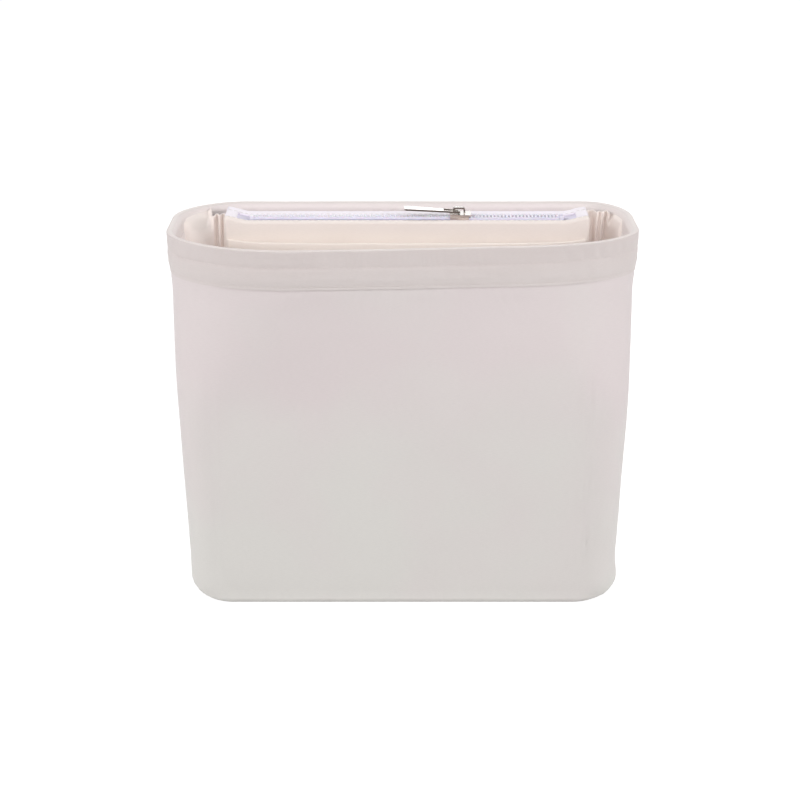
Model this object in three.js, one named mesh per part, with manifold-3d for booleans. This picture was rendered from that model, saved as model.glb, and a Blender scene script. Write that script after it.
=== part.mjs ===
// Bag organiser insert: an open satin box with board walls, a deep turned hem round its rim,
// and a zipped divider pouch that hangs between pleated wings near the back wall.
// Millimetres, +Z up. X runs along the length, the front wall is at -Y and the pouch nearer +Y.
// The origin is under the middle of the base, which stands on Z = 0.
import * as THREE from 'three';
import { mergeVertices } from 'three/addons/utils/BufferGeometryUtils.js';
import Module from 'manifold-3d';

const wasm = await Module();
wasm.setup();

// Body
const bodyHeight = 204;
const rimLength = 252.4; // outside of the wall at the rim, under the hem
const rimDepth = 104;
const wallLength = 248.2; // outside of the wall at the flare's end
const wallDepth = 103;
const baseLength = 236.8;
const baseDepth = 102;
const flareHeight = 165; // the walls lean out up to here, and kick out again to the rim
const flarePower = 1.08;
const wallCornerRadius = 24;
const rimFrontCornerX = 71; // the rim springs out of square, so its corners are long curves
const rimFrontCornerY = 43.3;
const rimBackRightCornerX = 24;
const rimBackRightCornerY = 34;
const rimBackLeftCornerX = 39;
const rimBackLeftCornerY = 37;
const rimCurveStart = 110; // height at which the corners start to open out to the rim's curve
const frontSwell = 4.4; // the rim's front bellies out this far at its left end
const frontDraw = 6.1; // and is drawn in this far at its right end
const swellReach = 95; // both are full from here on, from the middle
const bottomFoldFront = 4.2; // radius of the fold from wall to base, at the front and back
const bottomFoldSide = 9; // and at the two short sides

// Cloth, boards and clearance
const satin = 0.6;
const core = 1.5;
const seat = 0.3;
const hemDrop = 21.4;
const hemRound = 1.2;
const boardHalfLength = 103;
const boardGap = 0.5;
const coreStart = 12; // the boards stop short of the bottom fold

// Divider pouch
const pouchGapLeft = 16.9; // from the side wall, where the room is narrowest, to the pouch's end
const pouchGapRight = 12.65;
const rearSlotDepth = 6.7; // from the back lining at the base to the pouch
const pouchDepth = 25.2;
const pouchDrop = 0.1; // its ends hang this far under the rim
const pouchSag = 2.6; // and the zip lies this much lower again
const pouchPanel = 1.2;
const pouchFold = 0.8; // thickness of the turned edges beside the zip
const pouchFoldRadius = 1.6;
const frontFold = 3.3;
const gussetCloth = 0.8;
const riseLength = 13.5; // the zip's end that climbs from the sag to the pouch's end

// Slip pocket on the pouch's front
const slipMouthDrop = 11.2;
const slipBottom = 60;
const slipGape = 5.6;
const slipFullness = 4; // the higher, the further the bowed mouth keeps its full gape
const slipMargin = 1;

// Pleated wings between pouch and side walls
const wingCloth = 0.6;
const wingFoldsLeft = 1; // pleats that come forward beside the pouch's left end
const wingFoldsRight = 2;
const wingRadiusLeft = 0.85;
const wingRadiusRight = 1;
const wingFrontInset = 2.5; // the pleats' front folds, behind the pouch's front face
const wingTopDrop = 1.5;

// Zip
const zipOpening = 12.4; // between the two turned edges
const tapeThickness = 0.6;
const tapeEdge = 0.9; // from the zip's middle line to the tape's edge
const coilHeight = 2;
const coilHalfWidth = 2.6;
const coilBackWidth = 1.3; // the unbroken back of each row of teeth
const toothPitch = 2;
const toothNeck = 0.44;
const toothClearance = 0.28;
const toothReach = 0.75; // how far a tooth's head goes past the middle line
const toothShoulder = 0.05;
const headLength = 0.5;
const headTipShare = 0.65;
const stopLength = 2.2;
const stopRound = 0.5;
const zipTabLength = 6.5;

// Slider and puller
const sliderRestX = 32;
const sliderLength = 12;
const sliderPlate = 0.9;
const sliderWall = 0.7;
const partingStart = -sliderLength / 3; // the rows part between these, from the slider's middle
const partingEnd = sliderLength / 6;
const waistStart = -4.5; // where the slider's outline starts to widen, from its middle
const noseShare = 0.66; // of its greatest half width, left straight at the wide end
const channelClearance = 0.35;
const diamondHalfWidth = 0.6;
const diamondClearance = 0.25;
const diamondStart = 0.6; // the wedge that parts the rows, from the slider's middle
const diamondEnd = 5.4;
const archLength = 6.8;
const archWidth = 3.2;
const archThickness = 0.85;
const archOffset = -0.8;
const pinRadius = 0.65;
const pinClearance = 0.25;
const archHeadroom = 1.1; // above the pin, under the arch
const armWidth = 0.7;
const armLength = 8.6; // from the pin to the plate
const pullerLength = 21.8;
const pullerWidth = 5.2;
const pullerThickness = 1;
const pullerCorner = 0.8;
const pullerPitch = 4; // degrees that the puller stands up from the zip
const bite = 0.2; // the slider's parts run this far into each other before they are joined

// Fineness of the curves
const cornerSegments = 8;
const foldSteps = 3;
const frontSteps = 6; // along the front's straight run
const wallRings = [60, 110, 140, 162]; // heights of the rings of points up the walls
const riseSteps = 5;
const pleatSteps = 4;
const slipColumns = 16;
const slipLevels = 5;
const tapeStep = 1;
const metalSteps = 5;
const pinSteps = 12;
const shoulderShare = 0.3; // of a rounded edge's radius, from its square corner to its curve

// Depths into the wall, from its outside face
const coreOut = satin + seat;
const coreIn = coreOut + core;
const liningOut = coreIn + seat;
const liningIn = liningOut + satin;
const hemFace = -(satin + seat);
const hemInnerBack = liningIn + seat;
const hemInnerFace = hemInnerBack + satin;

// Heights
const hemBottom = bodyHeight - hemDrop;
const wallTop = bodyHeight - satin - seat;
const floorTop = liningIn;
const pouchBottom = floorTop + seat;
const zipPlane = bodyHeight - pouchDrop - pouchSag;
const hemMiddle = (hemBottom + wallTop) / 2;
const wallLevels = wallRings.filter((z) => z < hemBottom - coreIn);

// Colours and finishes
const finishes = {
  satin: { color: 0xd8d0cd, roughness: 0.55, metalness: 0 },
  hem: { color: 0xd6ccc9, roughness: 0.5, metalness: 0 },
  lining: { color: 0xe6dad2, roughness: 0.6, metalness: 0 },
  pouch: { color: 0xeadcd2, roughness: 0.55, metalness: 0 },
  board: { color: 0xc9c4bb, roughness: 0.9, metalness: 0 },
  foam: { color: 0xe9e6df, roughness: 0.95, metalness: 0 },
  tape: { color: 0xe7e0ec, roughness: 0.7, metalness: 0 },
  nylon: { color: 0xefeaf4, roughness: 0.4, metalness: 0 },
  nickel: { color: 0xc8c8c6, roughness: 0.22, metalness: 1 },
};

const insert = new THREE.Group();
const divider = new THREE.Group();
insert.add(divider);

function addPiece(name, geometry, finish, parent = insert) {
  const mesh = new THREE.Mesh(geometry, new THREE.MeshStandardMaterial(finishes[finish]));
  mesh.name = name;
  parent.add(mesh);
  return mesh;
}

function mix(from, to, share) {
  return from + (to - from) * share;
}

function ease(share) {
  const t = Math.min(Math.max(share, 0), 1);
  return t * t * (3 - 2 * t);
}

function point(x, y, z) {
  return new THREE.Vector3(x, y, z);
}

// Solids for cutting and joining
function toSolid(geometry) {
  const bare = geometry.index ? geometry.toNonIndexed() : geometry.clone();
  bare.deleteAttribute('normal');
  bare.deleteAttribute('uv');
  const welded = mergeVertices(bare, 1e-4);
  return new wasm.Manifold(new wasm.Mesh({
    numProp: 3,
    vertProperties: welded.attributes.position.array,
    triVerts: Uint32Array.from(welded.index.array),
  }));
}

function toGeometry(solid) {
  const mesh = solid.getMesh();
  const geometry = new THREE.BufferGeometry();
  geometry.setAttribute('position', new THREE.BufferAttribute(mesh.vertProperties, 3));
  geometry.setIndex(new THREE.BufferAttribute(mesh.triVerts, 1));
  geometry.computeVertexNormals();
  return geometry;
}

function box(low, high) {
  const size = high.clone().sub(low);
  const middle = low.clone().add(high).multiplyScalar(0.5);
  return new THREE.BoxGeometry(size.x, size.y, size.z).translate(middle.x, middle.y, middle.z);
}

// A loft through rows of points. Each row is a closed loop. The rows join end to end where the
// loft goes round, and are closed by flat caps, drawn in the plane flat() gives, where it doesn't.
// Each patch is split along its shorter diagonal, so that layers of a twisted wall split alike.
function loft(rows, flat = null) {
  const points = rows.flat();
  const count = rows[0].length;
  const spans = flat ? rows.length - 1 : rows.length;
  const triangles = [];
  for (let row = 0; row < spans; row += 1) {
    const here = row * count;
    const next = ((row + 1) % rows.length) * count;
    for (let column = 0; column < count; column += 1) {
      const other = (column + 1) % count;
      const [a, b, c, d] = [here + column, next + column, next + other, here + other];
      const split = points[a].distanceTo(points[c]) < points[b].distanceTo(points[d]);
      triangles.push(...(split ? [[a, b, c], [a, c, d]] : [[a, b, d], [b, c, d]]));
    }
  }
  if (flat) {
    triangles.push(...cap(rows[0].map(flat), 0, false));
    triangles.push(...cap(rows[rows.length - 1].map(flat), spans * count, true));
  }
  const volume = triangles.reduce((sum, [a, b, c]) => (
    sum + points[a].dot(points[b].clone().cross(points[c]))
  ), 0);
  const outward = volume > 0 ? triangles : triangles.map(([a, b, c]) => [a, c, b]);
  const geometry = new THREE.BufferGeometry().setFromPoints(points);
  geometry.setIndex(outward.flat());
  geometry.computeVertexNormals();
  return geometry;
}

function cap(outline, first, reversed) {
  const turns = THREE.ShapeUtils.area(outline) > 0;
  return THREE.ShapeUtils.triangulateShape(outline, []).map((triangle) => {
    const ordered = THREE.ShapeUtils.area(triangle.map((corner) => outline[corner])) > 0 === turns;
    const [a, b, c] = triangle.map((corner) => corner + first);
    return ordered !== reversed ? [a, b, c] : [a, c, b];
  });
}

const alongX = (p) => new THREE.Vector2(p.y, p.z);
const alongZ = (p) => new THREE.Vector2(p.x, p.y);

// The body's outline at one height. A station is one place round a corner or along the front,
// where its X sign runs from one corner's to the other's.
function corner(quadrant) {
  return Array.from({ length: cornerSegments + 1 }, (_, step) => ({
    signX: quadrant === 0 || quadrant === 3 ? 1 : -1,
    signY: quadrant < 2 ? 1 : -1,
    angle: (quadrant + step / cornerSegments) * Math.PI / 2,
  }));
}

const frontRun = Array.from({ length: frontSteps - 1 }, (_, step) => ({
  signX: 2 * (step + 1) / frontSteps - 1,
  signY: -1,
  angle: 3 * Math.PI / 2,
}));
const stations = [...corner(0), ...corner(1), ...corner(2), ...frontRun, ...corner(3)];

function flare(base, wall, rim, z) {
  const share = Math.min(Math.max(z, 0) / flareHeight, 1);
  const lean = mix(base, wall, 1 - (1 - share) ** flarePower);
  const kick = (rim - wall) * ease((z - flareHeight) / (bodyHeight - flareHeight));
  return (lean + kick) / 2;
}

// The corner's two radii at the rim
function rimCorner(signX, signY) {
  if (signY < 0) return [rimFrontCornerX, rimFrontCornerY];
  if (signX < 0) return [rimBackLeftCornerX, rimBackLeftCornerY];
  return [rimBackRightCornerX, rimBackRightCornerY];
}

// How far out of its straight line the rim's front stands at one place along its length
function swell(x) {
  const turn = Math.sin(Math.min(Math.max(x / swellReach, -1), 1) * Math.PI / 2);
  return turn < 0 ? -turn * frontSwell : -turn * frontDraw;
}

function wallPoint({ signX, signY, angle }, z, depth) {
  const opened = ease((z - rimCurveStart) / (bodyHeight - rimCurveStart));
  const [rimX, rimY] = rimCorner(signX, signY);
  const radiusX = mix(wallCornerRadius, rimX, opened);
  const radiusY = mix(wallCornerRadius, rimY, opened);
  const centreX = signX * (flare(baseLength, wallLength, rimLength, z) - radiusX);
  const centreY = signY * (flare(baseDepth, wallDepth, rimDepth, z) - radiusY);
  const c = Math.cos(angle);
  const s = Math.sin(angle);
  const normal = new THREE.Vector2(c / radiusX, s / radiusY).normalize();
  const x = centreX + radiusX * c - normal.x * depth;
  const y = centreY + radiusY * s - normal.y * depth;
  const stretch = y < 0 ? 1 + opened * swell(x) / (rimDepth / 2) : 1;
  return point(x, y * stretch, z);
}

function bottomFold({ angle }) {
  return mix(bottomFoldFront, bottomFoldSide, Math.cos(angle) ** 2);
}

// How far the wall is from the middle on one side, at a given Y, height and depth into the wall
function wallReach(side, y, z, depth) {
  const points = stations.filter(({ signX }) => signX === side).map((s) => wallPoint(s, z, depth));
  const ordered = points.sort((a, b) => a.y - b.y);
  const upper = ordered.findIndex((p) => p.y >= y);
  const [a, b] = [ordered[upper - 1], ordered[upper]];
  return Math.abs(mix(a.x, b.x, (y - a.y) / (b.y - a.y)));
}

// How far back the wall is at a given X, height and depth into the wall
function wallBack(side, x, z, depth) {
  const points = corner(side < 0 ? 1 : 0).map((s) => wallPoint(s, z, depth));
  const ordered = points.sort((a, b) => side * (a.x - b.x));
  const outer = ordered.findIndex((p) => side * (p.x - x) >= 0);
  if (outer === 0) return ordered[0].y;
  const [a, b] = [ordered[outer - 1], ordered[outer]];
  return mix(a.y, b.y, (x - a.x) / (b.x - a.x));
}

// A skin of the wall between two depths, which folds under into the base
function foldedWall(outside, inside) {
  const rows = stations.map((station) => {
    const fold = bottomFold(station);
    const side = (depth) => {
      const turn = Array.from({ length: foldSteps + 1 }, (_, step) => {
        const angle = step / foldSteps * Math.PI / 2;
        const inset = fold - (fold - depth) * Math.sin(angle);
        return wallPoint(station, fold - (fold - depth) * Math.cos(angle), inset);
      });
      const rise = [...wallLevels, hemBottom, hemMiddle, wallTop];
      return [...turn, ...rise.map((z) => wallPoint(station, z, depth))];
    };
    return [...side(outside), ...side(inside).reverse()];
  });
  return loft(rows);
}

function band(outside, inside, levels) {
  return loft(stations.map((station) => [
    ...levels.map((z) => wallPoint(station, z, outside)),
    ...levels.map((z) => wallPoint(station, z, inside)).reverse(),
  ]));
}

function basePanel(bottom, top) {
  const edge = stations.map((s) => wallPoint(s, 0, bottomFold(s) + seat));
  const rows = [bottom, top].map((z) => edge.map((p) => point(p.x, p.y, z)));
  return loft(rows, alongZ);
}

// The turned hem: one strip folded over the rim, with a leg on each side of the wall
function rimHem() {
  const shoulder = hemRound * shoulderShare;
  const profile = [
    [hemFace, hemBottom],
    [hemFace, hemMiddle],
    [hemFace, bodyHeight - hemRound],
    [hemFace + shoulder, bodyHeight - shoulder],
    [hemFace + hemRound, bodyHeight],
    [hemInnerFace - hemRound, bodyHeight],
    [hemInnerFace - shoulder, bodyHeight - shoulder],
    [hemInnerFace, bodyHeight - hemRound],
    [hemInnerFace, hemMiddle],
    [hemInnerFace, hemBottom],
    [hemInnerBack, hemBottom],
    [hemInnerBack, hemMiddle],
    [hemInnerBack, bodyHeight - satin],
    [hemFace + satin, bodyHeight - satin],
    [hemFace + satin, hemMiddle],
    [hemFace + satin, hemBottom],
  ];
  return loft(stations.map((s) => profile.map(([depth, z]) => wallPoint(s, z, depth))));
}

addPiece('outer_wall', foldedWall(0, satin), 'satin');
addPiece('outer_base', basePanel(0, satin), 'satin');
addPiece('rim_hem', rimHem(), 'hem');
addPiece('lining_wall', foldedWall(liningOut, liningIn), 'lining');
addPiece('lining_base', basePanel(liningOut, liningIn), 'lining');
addPiece('base_board', basePanel(coreOut, coreIn), 'board');
addPiece('rim_stay', band(coreOut, coreIn, [hemBottom, hemMiddle, wallTop]), 'board');

// The wall's core is one ring cut into two boards, front and back, and two foam side pieces
const coreRing = toSolid(band(coreOut, coreIn, [coreStart, ...wallLevels, hemBottom]));
const coreTop = hemBottom - seat;
const far = rimLength; // well outside the ring
const boardEdge = boardHalfLength + boardGap / 2;
const foamEdge = boardHalfLength + boardGap;
const ringParts = {
  front_board: [point(-boardEdge, -far, -far), point(boardEdge, 0, coreTop), 'board'],
  back_board: [point(-boardEdge, 0, -far), point(boardEdge, far, coreTop), 'board'],
  left_side_foam: [point(-far, -far, -far), point(-foamEdge, far, coreTop), 'foam'],
  right_side_foam: [point(foamEdge, -far, -far), point(far, far, coreTop), 'foam'],
};
for (const [name, [low, high, finish]] of Object.entries(ringParts)) {
  addPiece(name, toGeometry(coreRing.intersect(toSolid(box(low, high)))), finish);
}

// The pouch's place and the line of its zip
const wingFoot = Math.max(pouchBottom, bottomFoldSide + seat);
const [roomLeft, roomRight] = [-1, 1].map((side) => Math.min(
  wallReach(side, 0, wingFoot, liningIn),
  wallReach(side, 0, bodyHeight, hemInnerFace),
));
const pouchLeft = pouchGapLeft - roomLeft;
const pouchRight = roomRight - pouchGapRight;
const pouchMiddle = (pouchLeft + pouchRight) / 2;
const pouchBack = baseDepth / 2 - liningIn - rearSlotDepth;
const pouchFront = pouchBack - pouchDepth;
const zipLine = pouchFront + frontFold + zipOpening / 2;
const rearFold = pouchDepth - frontFold - zipOpening;
const zipLeft = pouchLeft + riseLength;
const zipRight = pouchRight - riseLength;

function pouchTop(x) {
  const past = Math.max(zipLeft - x, x - zipRight, 0);
  return zipPlane + pouchSag * ease(past / riseLength);
}

function pouchStations(left, right) {
  const steps = Array.from({ length: riseSteps + 1 }, (_, step) => riseLength * step / riseSteps);
  const leftEnd = steps.map((step) => pouchLeft + step);
  const rightEnd = steps.map((step) => pouchRight - step).reverse();
  const inner = [...leftEnd, pouchMiddle, ...rightEnd].filter((x) => x > left && x < right);
  return [left, ...inner, right];
}

// A pouch panel with its top edge turned in towards the zip
function pouchPanelWithFold(face, inward, foldLength) {
  const under = pouchFoldRadius + 0.5 * pouchFold;
  const shoulder = pouchFoldRadius * shoulderShare;
  const rows = pouchStations(pouchLeft, pouchRight).map((x) => {
    const top = pouchTop(x);
    const section = [
      [0, pouchBottom],
      [0, top - pouchFoldRadius],
      [shoulder, top - shoulder],
      [pouchFoldRadius, top],
      [foldLength, top],
      [foldLength, top - pouchFold],
      [under, top - pouchFold],
      [pouchPanel, top - 2 * pouchFold],
      [pouchPanel, pouchBottom],
    ];
    return section.map(([reach, z]) => point(x, face + inward * reach, z));
  });
  return loft(rows, alongX);
}

// One strip down the left end, along the floor and up the right end
function pouchGusset() {
  const low = pouchFront + pouchPanel + seat;
  const top = bodyHeight - pouchDrop - pouchFold - 3 * seat - tapeThickness;
  const shape = new THREE.Shape([
    new THREE.Vector2(pouchLeft, pouchBottom),
    new THREE.Vector2(pouchRight, pouchBottom),
    new THREE.Vector2(pouchRight, top),
    new THREE.Vector2(pouchRight - gussetCloth, top),
    new THREE.Vector2(pouchRight - gussetCloth, pouchBottom + gussetCloth),
    new THREE.Vector2(pouchLeft + gussetCloth, pouchBottom + gussetCloth),
    new THREE.Vector2(pouchLeft + gussetCloth, top),
    new THREE.Vector2(pouchLeft, top),
  ]);
  const width = pouchDepth - 2 * (pouchPanel + seat);
  const geometry = new THREE.ExtrudeGeometry(shape, { depth: width, bevelEnabled: false });
  return geometry.rotateX(Math.PI / 2).translate(0, low + width, 0);
}

addPiece('pouch_front_panel', pouchPanelWithFold(pouchFront, 1, frontFold), 'pouch', divider);
addPiece('pouch_back_panel', pouchPanelWithFold(pouchBack, -1, rearFold), 'pouch', divider);
addPiece('pouch_gusset', pouchGusset(), 'pouch', divider);

// The slip pocket is a sheet sewn to the pouch's front along its ends and foot. Its mouth bows out.
function slipPocket() {
  const left = pouchLeft + slipMargin;
  const right = pouchRight - slipMargin;
  const half = (right - left) / 2;
  const rows = Array.from({ length: slipColumns + 1 }, (_, column) => {
    const x = mix(left, right, column / slipColumns);
    const across = 1 - Math.abs((x - pouchMiddle) / half) ** slipFullness;
    const mouth = pouchTop(x) - slipMouthDrop;
    const face = (proud) => Array.from({ length: slipLevels + 1 }, (_unused, level) => {
      const up = level / slipLevels;
      const y = pouchFront - seat - slipGape * across * up - proud;
      return point(x, y, mix(slipBottom, mouth, up));
    });
    return [...face(0), ...face(satin).reverse()];
  });
  return loft(rows, alongX);
}

addPiece('slip_pocket', slipPocket(), 'pouch', divider);

// A wing: pleats that stand beside the pouch's end and reach back to the wall, then a broad leg
// to the side wall
function wing(side) {
  const end = side < 0 ? pouchLeft : pouchRight;
  const folds = side < 0 ? wingFoldsLeft : wingFoldsRight;
  const radius = side < 0 ? wingRadiusLeft : wingRadiusRight;
  const front = pouchFront + wingFrontInset + radius;
  const inside = hemInnerFace + seat;
  const levels = [wingFoot, ...wallLevels, hemBottom, bodyHeight - wingTopDrop];
  const rows = levels.map((z) => {
    let foot = end + side * (seat + wingCloth / 2);
    const path = [new THREE.Vector2(foot, front + radius)];
    const turn = (y, way, share = 1) => {
      for (let step = 0; step <= pleatSteps * share; step += 1) {
        const angle = step / pleatSteps * Math.PI;
        const across = side * radius * (1 - Math.cos(angle));
        path.push(new THREE.Vector2(foot + across, y + way * radius * Math.sin(angle)));
      }
      foot += side * 2 * radius;
    };
    const turnBack = () => {
      const outer = foot + side * (2 * radius + wingCloth / 2);
      turn(wallBack(side, outer, z, inside) - radius - wingCloth / 2, 1);
    };
    for (let fold = 0; fold < folds; fold += 1) {
      turnBack();
      turn(front, -1);
    }
    turnBack();
    turn(front, -1, 1 / 2);
    const leg = path[path.length - 1].y;
    path.push(new THREE.Vector2(side * wallReach(side, leg, z, inside), leg));
    return thicken(path, wingCloth).map((p) => point(p.x, p.y, z));
  });
  return loft(rows, alongZ);
}

// Both sides of a line, as one closed outline
function thicken(line, thickness) {
  const sides = line.map((here, index) => {
    const before = line[Math.max(index - 1, 0)];
    const after = line[Math.min(index + 1, line.length - 1)];
    const back = here.clone().sub(before).normalize();
    const ahead = after.clone().sub(here).normalize();
    const along = back.clone().add(ahead).normalize();
    const bend = Math.max(back.length() && ahead.length() ? along.dot(ahead) : 1, 0.5);
    const across = new THREE.Vector2(-along.y, along.x).multiplyScalar(thickness / 2 / bend);
    return [here.clone().add(across), here.clone().sub(across)];
  });
  return [...sides.map(([left]) => left), ...sides.map(([, right]) => right).reverse()];
}

addPiece('left_wing', wing(-1), 'lining', divider);
addPiece('right_wing', wing(1), 'lining', divider);

// The zip: tapes under the turned edges, and a row of hooked teeth on each.
// Left of the slider the rows are meshed, in the slider the wedge parts them, and right of it
// they lie side by side.
const tapeTop = pouchFold + seat; // all these are depths under the pouch's top
const tapeUnder = tapeTop + tapeThickness;
const coilFoot = tapeTop - seat;
const tapeInset = pouchFoldRadius + 0.5 * pouchFold + seat;
const stopLeft = zipLeft;
const stopRight = zipRight - stopLength;
const coilLeft = stopLeft + stopLength + seat;
const coilRight = stopRight - seat;
const partedFull = diamondHalfWidth + diamondClearance + toothReach;
const partedRest = toothReach + seat;

function parting(x) {
  const inSlider = x - sliderRestX;
  const opening = ease((inSlider - partingStart) / (partingEnd - partingStart));
  const settling = ease((inSlider - sliderLength / 2) / (sliderLength / 2));
  return opening * mix(partedFull, partedRest, settling);
}

function zipTape(side) {
  const outer = side < 0 ? pouchFront + tapeInset : pouchBack - tapeInset;
  const left = pouchLeft + gussetCloth + 2 * seat;
  const right = pouchRight - gussetCloth - 2 * seat;
  const between = [];
  for (let x = sliderRestX + partingStart; x < sliderRestX + sliderLength; x += tapeStep) {
    between.push(x);
  }
  const xs = [...pouchStations(left, right), ...between].sort((a, b) => a - b);
  const distinct = xs.filter((x, index) => index === 0 || x - xs[index - 1] > 0.01);
  const rows = distinct.map((x) => {
    const inner = zipLine + side * (tapeEdge + parting(x));
    const top = pouchTop(x) - tapeTop;
    return [
      point(x, outer, top),
      point(x, inner, top),
      point(x, inner, top - tapeThickness),
      point(x, outer, top - tapeThickness),
    ];
  });
  return loft(rows, alongX);
}

function zipCoil(side) {
  const headHalf = (toothPitch - toothNeck - 2 * toothClearance) / 2;
  const tipHalf = headHalf * headTipShare;
  const neckHalf = toothNeck / 2;
  const first = coilLeft + headHalf + (side < 0 ? 0 : toothPitch / 2);
  const count = Math.floor((coilRight - headHalf - first) / toothPitch) + 1;
  const tooth = [
    [-neckHalf, coilBackWidth],
    [-neckHalf, -toothShoulder],
    [-headHalf, headLength - toothReach],
    [-tipHalf, -toothReach],
    [tipHalf, -toothReach],
    [headHalf, headLength - toothReach],
    [neckHalf, -toothShoulder],
    [neckHalf, coilBackWidth],
  ];
  const inner = [[coilLeft, coilBackWidth]];
  const outer = [[coilLeft, coilHalfWidth]];
  for (let index = 0; index < count; index += 1) {
    const middle = first + index * toothPitch;
    const shift = parting(middle);
    inner.push(...tooth.map(([x, y]) => [middle + x, y + shift]));
    outer.push([middle, coilHalfWidth + shift]);
  }
  inner.push([coilRight, coilBackWidth + parting(coilRight)]);
  outer.push([coilRight, coilHalfWidth + parting(coilRight)]);
  const outline = [...inner, ...outer.reverse()];
  const shape = new THREE.Shape(outline.map(([x, y]) => new THREE.Vector2(x, side * y)));
  const geometry = new THREE.ExtrudeGeometry(shape, { depth: coilHeight, bevelEnabled: false });
  return geometry.translate(0, zipLine, zipPlane - coilFoot);
}

// A moulded stop with rounded shoulders
function zipStop(left, yLow, yHigh) {
  const width = yHigh - yLow;
  const shape = new THREE.Shape();
  shape.moveTo(-width / 2, 0);
  shape.lineTo(width / 2, 0);
  shape.lineTo(width / 2, coilHeight - stopRound);
  shape.quadraticCurveTo(width / 2, coilHeight, width / 2 - stopRound, coilHeight);
  shape.lineTo(stopRound - width / 2, coilHeight);
  shape.quadraticCurveTo(-width / 2, coilHeight, -width / 2, coilHeight - stopRound);
  const settings = { depth: stopLength, bevelEnabled: false, curveSegments: metalSteps };
  const geometry = new THREE.ExtrudeGeometry(shape, settings);
  geometry.rotateX(Math.PI / 2).rotateZ(Math.PI / 2);
  return geometry.translate(left, (yLow + yHigh) / 2, zipPlane - coilFoot);
}

addPiece('zip_tape_front', zipTape(-1), 'tape', divider);
addPiece('zip_tape_back', zipTape(1), 'tape', divider);
addPiece('zip_coil_front', zipCoil(-1), 'nylon', divider);
addPiece('zip_coil_back', zipCoil(1), 'nylon', divider);

const partedOuter = coilHalfWidth + partedRest;
const partedInner = coilBackWidth + partedRest;
addPiece(
  'zip_bottom_stop',
  zipStop(stopLeft, zipLine - coilHalfWidth, zipLine + coilHalfWidth),
  'nylon',
  divider,
);
addPiece(
  'zip_top_stop_front',
  zipStop(stopRight, zipLine - partedOuter, zipLine - partedInner),
  'nylon',
  divider,
);
addPiece(
  'zip_top_stop_back',
  zipStop(stopRight, zipLine + partedInner, zipLine + partedOuter),
  'nylon',
  divider,
);

// A tab of folded cloth over the tapes' ends, turned down at its outer edge
function zipTab(side) {
  const end = side < 0 ? pouchLeft : pouchRight;
  const low = pouchFront + frontFold + seat;
  const high = pouchBack - rearFold - seat;
  const deep = tapeUnder + seat;
  const profile = [
    [0, deep],
    [gussetCloth, deep],
    [gussetCloth + seat, pouchFold],
    [zipTabLength / 2, pouchFold],
    [zipTabLength, pouchFold],
  ];
  const rows = profile.map(([inward, depth]) => {
    const x = end - side * inward;
    const top = pouchTop(x);
    return [
      point(x, low, top),
      point(x, high, top),
      point(x, high, top - depth),
      point(x, low, top - depth),
    ];
  });
  return loft(rows, alongX);
}

addPiece('zip_tab_left', zipTab(-1), 'pouch', divider);
addPiece('zip_tab_right', zipTab(1), 'pouch', divider);

// Slider, drawn round its own middle on the zip's line, with heights from the zip's plane.
// Its narrow mouth is at -X, over the meshed rows, and its two wide mouths at +X.
const coilTop = coilHeight - coilFoot;
const topPlateUnder = coilTop + seat;
const topPlateTop = topPlateUnder + sliderPlate;
const bottomPlateTop = -(tapeUnder + seat);
const channelRear = coilHalfWidth + channelClearance;
const channelFront = coilHalfWidth + partedFull + seat;
const sliderRear = channelRear + sliderWall;
const sliderShoulder = channelFront + sliderWall;

function plate(shape, bottom, top) {
  const settings = { depth: top - bottom, bevelEnabled: false, curveSegments: metalSteps };
  return toSolid(new THREE.ExtrudeGeometry(shape, settings).translate(0, 0, bottom));
}

function sliderOutline() {
  const half = sliderLength / 2;
  const nose = sliderShoulder * noseShare;
  const shape = new THREE.Shape();
  shape.moveTo(-half, sliderWall - sliderRear);
  shape.quadraticCurveTo(-half, -sliderRear, sliderWall - half, -sliderRear);
  shape.lineTo(waistStart, -sliderRear);
  shape.bezierCurveTo(
    waistStart / 2, -sliderRear,
    -sliderWall, -sliderShoulder,
    partingEnd, -sliderShoulder,
  );
  shape.lineTo(half - 2 * sliderWall, -sliderShoulder);
  shape.quadraticCurveTo(half, -sliderShoulder, half, -nose);
  shape.lineTo(half, nose);
  shape.quadraticCurveTo(half, sliderShoulder, half - 2 * sliderWall, sliderShoulder);
  shape.lineTo(partingEnd, sliderShoulder);
  shape.bezierCurveTo(
    -sliderWall, sliderShoulder,
    waistStart / 2, sliderRear,
    waistStart, sliderRear,
  );
  shape.lineTo(sliderWall - half, sliderRear);
  shape.quadraticCurveTo(-half, sliderRear, -half, sliderRear - sliderWall);
  return shape;
}

function mirroredShape(halfOutline) {
  const upper = halfOutline.map(([x, y]) => new THREE.Vector2(x, y));
  const lower = halfOutline.map(([x, y]) => new THREE.Vector2(x, -y)).reverse();
  return new THREE.Shape([...lower, ...upper.filter(({ y }) => y > 0)].filter(
    (p, index, all) => index === 0 || p.distanceTo(all[index - 1]) > 1e-6,
  ));
}

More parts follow.
